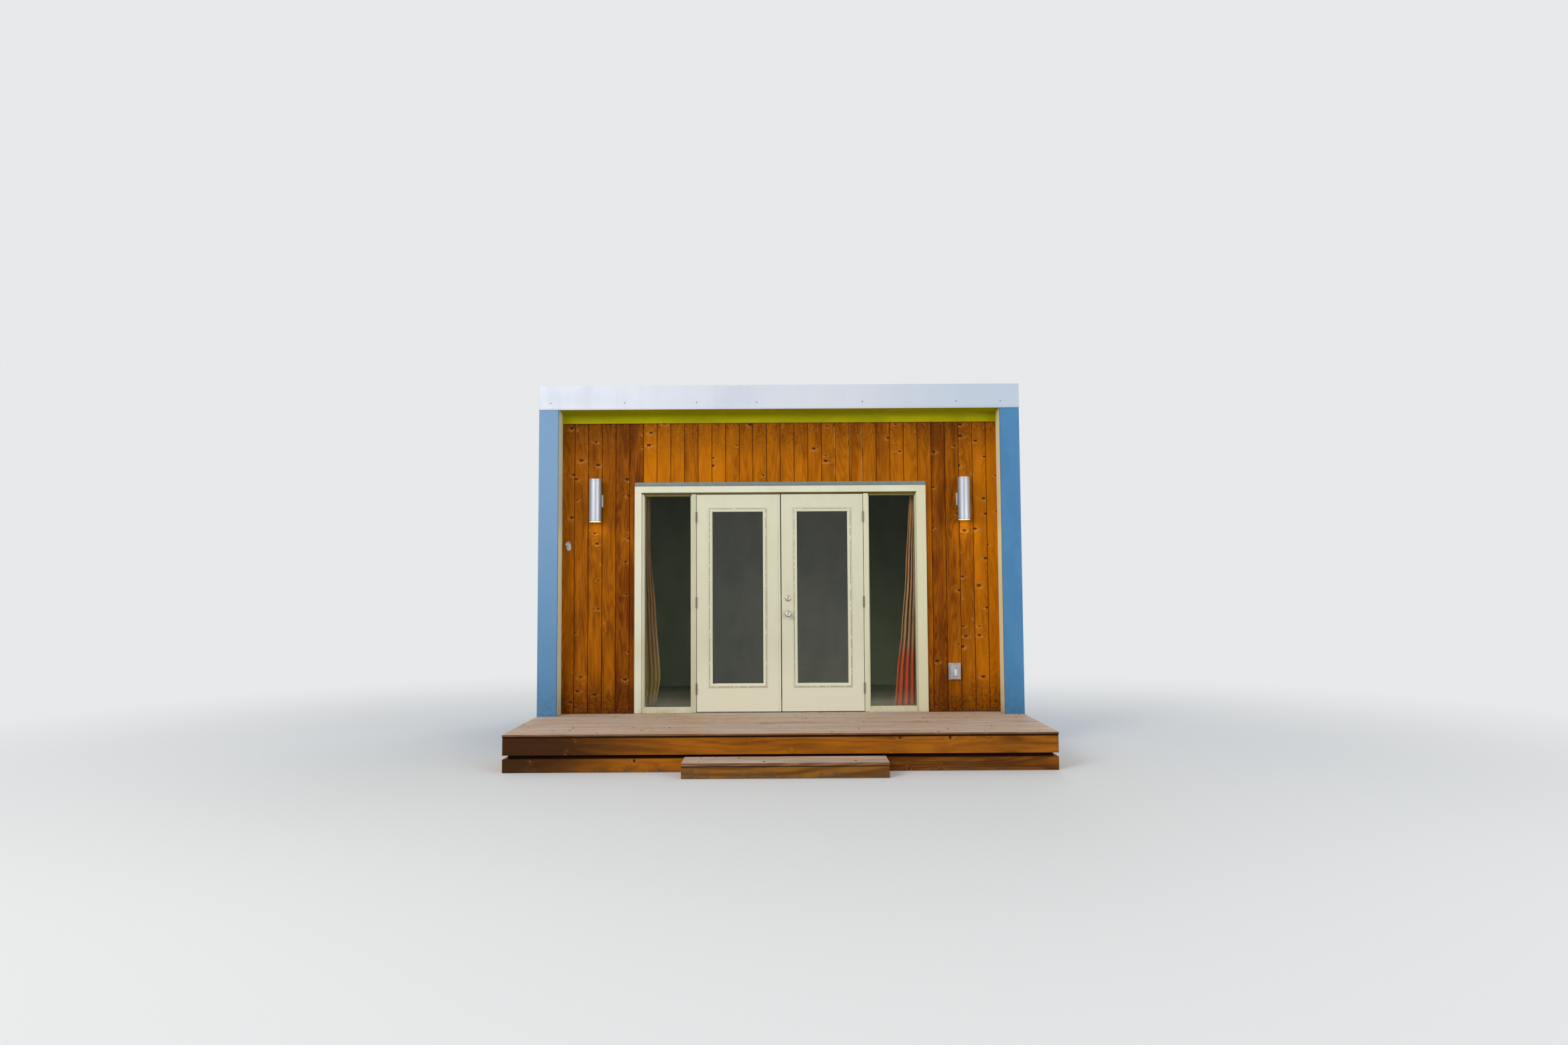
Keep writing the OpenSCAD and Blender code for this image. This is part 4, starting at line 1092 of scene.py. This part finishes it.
# %% Latch plates and strikes
PLATE = 0.0285
_, astragal_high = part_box("left_door_astragal")
swap = Matrix(((0, 1, 0, astragal_high.x - 0.0001), (1, 0, 0, 0), (0, 0, 1, 0), (0, 0, 0, 1)))
plates, bolts, strikes = bmesh.new(), bmesh.new(), bmesh.new()
for z in (knob_z, bolt_z):
    block(plates, (edge_x - 0.0014, edge_x + 0.0002), (face_y + 0.0095, face_y + 0.0345), span(z, PLATE))
    block(bolts, (edge_x - 0.0034, edge_x + 0.0002), (face_y + 0.0150, face_y + 0.0290), span(z, 0.010))
    for dz in (-0.021, 0.021):
        screw_head(bolts, (edge_x - 0.0014, face_y + 0.022, z + dz), (-1, 0, 0), 0.0036, 0.0005)
    slab_with_opening(strikes, ((face_y + 0.006, face_y + 0.034), span(z, PLATE)),
                      ((face_y + 0.013, face_y + 0.029), span(z, 0.012)), 0.0, 0.0012)
bmesh.ops.transform(strikes, matrix=swap, verts=strikes.verts)
outwards(strikes)
ease(plates, 0.0005, 1)
ease(bolts, 0.0006, 1)
make_piece("latch_plates", plates, satin_nickel, "right_door_locks", extra=True)
make_piece("latch_bolts", bolts, screw_metal, "right_door_locks", extra=True)
make_piece("strikes", strikes, satin_nickel, "left_door_astragal", extra=True, slot="lock_steel")

# %% Threshold with fluted treads
threshold = node_copy("threshold")
sill_low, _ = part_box("threshold")
press_grooves(threshold, spaced(sill_low.y + 0.012, sill_low.y + 0.15, 0.011), 0.004, 0.0018)
number_boards(threshold)
make_piece("threshold.fluted", threshold, mill_metal, "threshold")

# %% [markdown]
# ## Roof metal
#
# Folded sheet is never flat. Between its screws it drifts in and out by a
# millimetre, which the light shows as soft dents. The copies of the trims are
# cut into a fine grid and their points pushed by smooth noise. Each screw
# pulls a shallow dish round itself. The front trim is two lengths that lap near
# the right end, so one side stands half a millimetre proud of the other.

# %% Fascias with soft dents
TRIM_SCREWS = (-2.101, -1.42, -0.76, -0.204, 0.767, 1.63, 2.037)
TRIM_SCREW_Z = 3.158
DISH_WIDTH, DISH_DEPTH = 0.08, 0.0010
LAP_GAP, LAP_RISE = 0.0004, 0.0005


def dented(node, finish, pitch, depth, facing, seed, lap=None, pins=()):
    """A folded trim, cut up along X and pushed in and out by soft noise and by its screws.

    Gives back a function that tells how far the sheet stands out at a place."""
    bm = node_copy(node)
    low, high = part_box(node)
    cut_lines(bm, "X", spaced(low.x, high.x, pitch))
    cut_lines(bm, "Z", spaced(low.z + 0.012, high.z - 0.006, 0.02))
    if lap is not None:
        cut_lines(bm, "X", span(lap, LAP_GAP))
        bmesh.ops.split_edges(bm, edges=[
            e for e in bm.edges if all(abs(abs(v.co.x - lap) - LAP_GAP) < 1e-5 for v in e.verts)
            and abs(e.verts[0].co.x - e.verts[1].co.x) < 1e-6])
    number_boards(bm)
    shift = Vector((seed * 3.1, seed * 1.7, seed * 0.9))

    def stands_out(place):
        hold = min(1.0, min(place.x - low.x, high.x - place.x) / 0.15)
        rim = min(1.0, max(0.0, min(place.z - low.z, high.z - place.z) / ((high.z - low.z) / 2)))
        wave = noise.noise(Vector((place.x * 1.3, place.y * 1.3, place.z * 3.0)) + shift)
        fine = noise.noise(Vector((place.x * 5.5, place.y * 5.5, place.z * 9.0)) + shift * 2)
        pull = sum(math.exp(-((place.x - x) ** 2 + (place.z - TRIM_SCREW_Z) ** 2) / DISH_WIDTH ** 2)
                   for x in pins)
        push = depth * hold * (wave + 0.12 * fine) * (0.35 + 0.65 * rim) - DISH_DEPTH * pull * rim
        return push - LAP_RISE if lap is not None and place.x < lap else push

    for vert in bm.verts:
        vert.co += Vector(facing) * stands_out(vert.co)
    make_piece(node + ".folded", bm, finish, node, smooth=25)
    return stands_out


front_sheet = dented("front_fascia", galvanised, 0.04, 0.0016, (0, -1, 0), 2, lap=0.791, pins=TRIM_SCREWS)
dented("back_fascia", galvanised, 0.07, 0.0010, (0, 1, 0), 5)
eased("side_fascias", galvanised, 0.0005, 1)
dress("roof_sheet", roof_metal)

# %% [markdown]
# Roofing screws have a hex head on a wide sealing washer. They hold the sheet
# down through its ribs and pin the trims, so they are made once as a tiny
# shape and set in rows.

# %% Roofing screws
RIB_PITCH, ROOF_FALL = 0.229, 0.083


def roofing_screw(bm, centre, facing):
    screw_head(bm, centre, facing, 0.0072, 0.0012, 12)
    screw_head(bm, Vector(centre) + Vector(facing) * 0.0012, facing, 0.0046, 0.0038, 6)


fascia_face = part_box("front_fascia")[0].y + 0.006
sheet_low, sheet_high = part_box("roof_sheet")
trim_screws, roof_screws = bmesh.new(), bmesh.new()
for x in TRIM_SCREWS:
    stands = front_sheet(Vector((x, fascia_face, TRIM_SCREW_Z)))
    roofing_screw(trim_screws, (x, fascia_face - stands + 0.0002, TRIM_SCREW_Z), (0, -1, 0))
make_piece("trim_screws", trim_screws, screw_metal, "front_fascia", extra=True)
fall = math.atan(ROOF_FALL)
for y in (sheet_low.y + 0.09, 0.55, 1.2, 1.85, 2.5, sheet_high.y - 0.07):
    z = sheet_high.z - 0.0006 - (y - sheet_low.y) * ROOF_FALL
    for rib in range(-9, 10):
        roofing_screw(roof_screws, (rib * RIB_PITCH, y, z), (0, math.sin(fall), math.cos(fall)))
make_piece("roof_screws", roof_screws, screw_metal, "roof_sheet", extra=True)

# %% [markdown]
# ## Wall lights
#
# Each light is a spun aluminium tube that shines up and down the boards. A
# thin line near the top is the joint of its cap, and the frosted lenses sit a
# little inside both ends.

# %% Light housings, lenses and plates
low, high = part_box("wall_lights")
TUBE_H, PLATE_HALF, ARM_HALF = high.z - low.z, 0.0595, 0.0228
HOUSING = [(0.0535, 0.016), (0.0535, 0.0006), (0.0542, 0.0), (0.0562, 0.0), (0.057, 0.0008),
           (0.057, 0.0055), (0.0562, 0.0062), (0.0562, 0.0072), (0.057, 0.008), (0.057, TUBE_H - 0.0155),
           (0.0555, TUBE_H - 0.0148), (0.0555, TUBE_H - 0.0128), (0.057, TUBE_H - 0.012),
           (0.057, TUBE_H - 0.0008), (0.0562, TUBE_H), (0.0542, TUBE_H), (0.0535, TUBE_H - 0.0006),
           (0.0535, TUBE_H - 0.016)]
LENS = [(0.0534, 0.0), (0.0534, 0.002), (0.03, 0.0026), (0.0, 0.0028)]
lights, lenses = bmesh.new(), bmesh.new()
middle = low.z + TUBE_H / 2
for sign in (-1, 1):
    x = sign * (high.x - PLATE_HALF)
    foot = Vector((x, low.y + 0.057, low.z))
    join(lights, turned_part(HOUSING, foot, (0, 0, 1), 64))
    for z in (0.0110, TUBE_H - 0.0140):
        join(lenses, turned_part(LENS, foot + Vector((0, 0, z)), (0, 0, 1), 40))
    join(lights, eased_block(span(x, PLATE_HALF), (-0.020, 0.0), span(middle, PLATE_HALF), 0.003, 3),
         eased_block(span(x, ARM_HALF), (-0.0535, -0.018), span(middle, ARM_HALF), 0.0015, 2))
    for screw_x in span(x, 0.045):
        screw_head(lights, (screw_x, -0.020, middle), (0, -1, 0), 0.0038, 0.0012)
make_piece("wall_lights.spun", lights, brushed, "wall_lights", smooth=35)
make_piece("light_lenses", lenses, lens_glow, "wall_lights", smooth=35, extra=True)

# %% [markdown]
# ## Outlet cover and bottle opener
#
# The outlet cover is a moulded lid on a base, with cut-off top corners and a
# raised rib down its middle, so the lid is an outline pulled forwards and
# rounded. The opener is a casting: a long plate with round ends and a
# hood that grips the cap.

# %% Outlet cover
fit_low, fit_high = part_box("wall_fittings")
x, foot, head = fit_high.x - 0.0565, fit_low.z, fit_low.z + 0.153
cover, lid, hinge = bmesh.new(), bmesh.new(), bmesh.new()
block(cover, span(x, 0.0565), (-0.010, 0.0), (foot, head))
ease(cover, 0.006, 3, only=lambda e: abs(e.verts[0].co.y - e.verts[1].co.y) > 0.005)
ease(cover, 0.0015, only=lambda e: all(v.co.y < -0.0099 for v in e.verts))
half_lid = [(0.044, foot + 0.008), (0.0485, foot + 0.034), (0.0485, head - 0.036), (0.033, head - 0.009)]
board_from(lid, [(x - half_lid[0][0], half_lid[0][1])] + [(x + side, z) for side, z in half_lid]
           + [(x - side, z) for side, z in half_lid[:0:-1]], -0.048, -0.010)
outwards(lid)
ease(lid, 0.007, 4, only=lambda e: all(v.co.y < -0.047 for v in e.verts))
bmesh.ops.create_cone(hinge, cap_ends=True, segments=20, radius1=0.0045, radius2=0.0045, depth=0.074,
                      matrix=aimed((x, -0.0145, head - 0.0075), (1, 0, 0)))
join(cover, lid, eased_block(span(x, 0.034), (-0.0545, -0.046), (foot + 0.030, head - 0.046), 0.003, 3),
     eased_block((x + 0.046, x + 0.0555), (-0.030, -0.018), (head - 0.042, head - 0.032), 0.001, 2), hinge)
rib = eased_block(span(x, 0.0095), (-0.0615, -0.053), (foot + 0.040, head - 0.054), 0.0025, 3)
make_piece("outlet_cover", cover, cover_plastic, "wall_fittings", smooth=35)
make_piece("outlet_rib", rib, rib_plastic, "wall_fittings", smooth=35, extra=True)

# %% Bottle opener
HOOD = [(0.0265, -0.003), (0.0265, -0.020), (0.0245, -0.026), (0.019, -0.024), (0.019, -0.003)]
HOOD_START, HOOD_TURN = math.radians(-13), math.radians(206)
x, z = fit_low.x + 0.026, fit_high.z - 0.040
opener, hood = bmesh.new(), bmesh.new()
made = bmesh.ops.create_cone(opener, cap_ends=True, segments=32, radius1=0.021, radius2=0.021, depth=0.004,
                             matrix=Matrix.Rotation(math.pi / 32, 4, "Z"))
for vert in made["verts"]:
    vert.co.y += math.copysign(0.022, vert.co.y)
bmesh.ops.transform(opener, verts=opener.verts,
                    matrix=Matrix.Translation((x, -0.002, z)) @ Matrix.Rotation(math.pi / 2, 4, "X"))
ease(opener, 0.001)
start = hood.faces.new([
    hood.verts.new((r * math.cos(HOOD_START), y, r * math.sin(HOOD_START))) for r, y in HOOD])
bmesh.ops.spin(hood, geom=[start, *start.edges, *start.verts], cent=(0, 0, 0), axis=(0, -1, 0),
               angle=HOOD_TURN, steps=26)
bmesh.ops.holes_fill(hood, edges=[e for e in hood.edges if e.is_boundary])
outwards(hood)
bmesh.ops.translate(hood, vec=(x, 0, z + 0.014), verts=hood.verts)
join(opener, hood, eased_block(span(x, 0.007), (-0.024, -0.0035), (z - 0.004, z + 0.002), 0.0012, 2))
for dz in (-0.031, 0.014):
    screw_head(opener, (x, -0.004, z + dz), (0, -1, 0), 0.005, 0.0016, 16)
make_piece("bottle_opener", opener, cast_metal, "wall_fittings", smooth=35, extra=True)

# %% [markdown]
# ## Curtains
#
# Each sidelight has a curtain, pinned to the header and pulled to the outer
# side, so its inner edge leans. Cloth doesn't stretch. A row of it bends left
# and right as a river does, and the narrower the curtain is at that height,
# the tighter the bends. The bend is solved for at each row, so the row keeps
# the length of the cloth, and a simulation isn't needed.

# %% A row of folds
FOLDS, COLUMNS, ROWS = 4, 96, 60
TIGHTEST, UNEVEN = 2.15, 1.5
CUT_WIDTH, SIDELIGHT_CLEAR = 0.30, 0.443
cur_low, cur_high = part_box("curtains")


def folded_row(width, wander):
    """One row of cloth as points across and in depth, as long as the cloth is wide."""
    step = CUT_WIDTH / COLUMNS
    slack, tight = 0.0, TIGHTEST
    for _ in range(22):
        bend = (slack + tight) / 2
        x = y = 0.0
        row = [(x, y)]
        for i in range(COLUMNS):
            turn = bend * math.sin(2 * math.pi * FOLDS * (i + 0.5) / COLUMNS + wander[i])
            x += step * math.cos(turn)
            y += step * math.sin(turn)
            row.append((x, y))
        slack, tight = (bend, tight) if x > width else (slack, bend)
    drift = row[-1][1] / COLUMNS
    row = [(x, y - drift * i) for i, (x, y) in enumerate(row)]
    middle = (max(y for _, y in row) + min(y for _, y in row)) / 2
    return [(x, y - middle) for x, y in row]


def share_at(edges, v):
    """The curtain's width at a height, softly between its given places."""
    for (v0, s0), (v1, s1) in zip(edges, edges[1:]):
        if v <= v1:
            t = (v - v0) / (v1 - v0)
            return s0 + (s1 - s0) * (0.5 * t + 0.5 * t * t * (3 - 2 * t))


# %% The two curtains
def curtain(name, sign, edges, finish, seed, hem_rise=0.0):
    """Edges gives the width as a share of the sidelight, from the foot up."""
    bm = bmesh.new()
    uv = bm.loops.layers.uv.new("cloth")
    valley = bm.verts.layers.float.new("valley")
    height = cur_high.z - cur_low.z
    grid = bmesh.ops.create_grid(bm, x_segments=COLUMNS, y_segments=ROWS, size=0.5)
    flat = {v: (v.co.x + 0.5, v.co.y + 0.5) for v in grid["verts"]}
    rows = []
    for row in range(ROWS + 1):
        v = row / ROWS
        wander = [UNEVEN * noise.noise(Vector((i / COLUMNS * 2.2, v * 1.5, seed))) for i in range(COLUMNS)]
        rows.append(folded_row(SIDELIGHT_CLEAR * share_at(edges, v) - 0.004, wander))
    deepest = max(abs(y) for row in rows for _, y in row)
    for vert, (u, v) in flat.items():
        x, y = rows[round(v * ROWS)][round(u * COLUMNS)]
        vert.co = (sign * (cur_high.x - 0.002 - x), (cur_low.y + cur_high.y) / 2 + y,
                   cur_low.z + 0.001 + v * (height - 0.002) + hem_rise * u * u * (1 - v) ** 3)
        vert[valley] = 0.5 + 0.5 * y / deepest
    for face in bm.faces:
        for loop in face.loops:
            u, v = flat[loop.vert]
            loop[uv].uv = (u * CUT_WIDTH, v * height)
    if sign > 0:
        bmesh.ops.reverse_faces(bm, faces=bm.faces)
    piece = make_piece(name, bm, finish, "curtains", extra=sign > 0)
    piece.data.shade_smooth()
    wall = piece.modifiers.new("cloth thickness", "SOLIDIFY")
    wall.thickness, wall.offset = 0.0012, 0.0
    print("deepest fold of", name, round(deepest * 1000, 1), "mm")


curtain("left_curtain", -1, [(0, 0.30), (0.12, 0.385), (0.46, 0.275), (0.7, 0.17), (1, 0.15)],
        left_cloth, 3.0, 0.07)
curtain("right_curtain", 1, [(0, 0.53), (0.15, 0.47), (0.35, 0.36), (0.6, 0.26), (1, 0.15)],
        right_cloth, 8.0)

# %% [markdown]
# ## Screws in the deck and nails in the siding
#
# Two screws hold each board at each joist, and two nails hold each board of
# the siding at each rail. The heads lie almost flush. They are small, but
# their even rows tell the eye how the deck and walls are put together.

# %% Deck screws
def middles(node):
    """The middle of each solid of a node along X."""
    return sorted({round((low.x + high.x) / 2, 4) for low, high in spans(node)})


def deck_screw_at(x, y, top):
    screw_head(deck_screws, (x, y, top - 0.0004), (0, 0, 1), 0.0044, 0.0008, 8)


deck_screws = bmesh.new()
dice = random.Random(11)
for low, high in spans("deck_boards"):
    rows = (low.y + 0.022, high.y - 0.022) if high.y - low.y > 0.07 else ((low.y + high.y) / 2,)
    for x in middles("deck_joists"):
        for y in rows:
            if low.x + 0.01 < x < high.x - 0.01:
                deck_screw_at(x + dice.uniform(-0.004, 0.004), y + dice.uniform(-0.003, 0.003), high.z)
for low, high in spans("step_treads"):
    for x in middles("step_bearers"):
        for y in (low.y + 0.03, high.y - 0.03):
            deck_screw_at(x, y, high.z)
make_piece("deck_screws", deck_screws, deck_screw, "deck_boards", extra=True)

# %% Siding nails
def nail_at(place, facing):
    screw_head(nails, place, facing, 0.0036, 0.0007, 6)


nails = bmesh.new()
wall_low, wall_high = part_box("side_siding")
_, back_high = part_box("back_siding")
for z in (0.22, 0.75, 1.35, 1.95, 2.5):
    for i in range(int((wall_high.y - wall_low.y) / SIDING_PITCH)):
        for inset in (0.035, SIDING_PITCH - 0.035):
            for sign in (-1, 1):
                nail_at((sign * wall_high.x, wall_low.y + i * SIDING_PITCH + inset, z), (sign, 0, 0))
    for i in range(-10, 10):
        for inset in (0.035, SIDING_PITCH - 0.035):
            nail_at((i * SIDING_PITCH + inset, back_high.y, z), (0, 1, 0))
make_piece("siding_nails", nails, blue_paint, "side_siding", extra=True)

# %% [markdown]
# ## Studio
#
# The pod stands on a plain pale floor that fades into a pale background. The
# light is soft and comes mostly from the front left, about as bright on the
# boards as their colours are written.

# %% Studio floor
BACKDROP = (0.80, 0.81, 0.82, 1.0)


def eye(tree):
    """One where the camera looks, straight or by way of glass, and nought for other light."""
    path = put(tree, "ShaderNodeLightPath")
    through = calc("MAXIMUM", path["Is Glossy Ray"], path["Is Transmission Ray"])
    return calc("MAXIMUM", path["Is Camera Ray"], through)


ground, floor_mesh = bmesh.new(), bpy.data.meshes.new("studio_floor")
bmesh.ops.create_circle(ground, cap_ends=True, segments=96, radius=90)
bmesh.ops.translate(ground, vec=(0, 0, -0.0012), verts=ground.verts)
ground.to_mesh(floor_mesh)
ground.free()
studio_floor = new_object("studio_floor", floor_mesh)
finish, tree, shader, place, _ = new_finish("pale studio floor")
wire(shader, Base_Color=(0.77, 0.77, 0.765, 1.0), Roughness=0.9, Specular_IOR_Level=0.1)
far = ramp(put(tree, "ShaderNodeVectorMath", {0: place}, operation="LENGTH")["Value"], 3.6, 9.5)
fade = put(tree, "ShaderNodeEmission", {"Color": BACKDROP, "Strength": 1.0})[0]
give(tree.nodes["Material Output"].inputs["Surface"], blend(far * eye(tree), Field(shader.outputs[0]), fade))
floor_mesh.materials.append(finish)
print("studio floor:", len(floor_mesh.polygons), "face")

# %% World
world = bpy.data.worlds.new("studio")
bpy.context.scene.world = world
world.use_nodes = True
tree = world.node_tree
tree.nodes.clear()
sky = put(tree, "ShaderNodeBackground", {"Color": (0.93, 0.97, 1.0, 1.0), "Strength": 0.6})[0]
backdrop = put(tree, "ShaderNodeBackground", {"Color": BACKDROP, "Strength": 1.0})[0]
put(tree, "ShaderNodeOutputWorld", {"Surface": blend(eye(tree), sky, backdrop)})
print("world:", len(tree.nodes), "nodes")

# %% Lamps and colour management
def lamp(name, place, target, size, power, colour=(1, 1, 1)):
    data = bpy.data.lights.new(name, "AREA")
    data.shape, data.size, data.energy, data.color = "DISK", size, power, colour
    thing = new_object(name, data)
    thing.location = place
    thing.rotation_mode = "QUATERNION"
    thing.rotation_quaternion = (Vector(target) - Vector(place)).to_track_quat("-Z", "Y")


lamp("key", (-6.5, -9.5, 6.5), (0, 0, 1.5), 5.0, 550, (1.0, 0.985, 0.96))
lamp("fill", (7.5, -8.5, 3.5), (0, 0, 1.5), 6.0, 250, (0.97, 0.985, 1.0))
lamp("back", (2.0, 11.0, 7.0), (0, 2.5, 1.5), 6.0, 420)
bpy.context.scene.view_settings.view_transform = "Standard"
print("lamps:", len(bpy.data.lights))
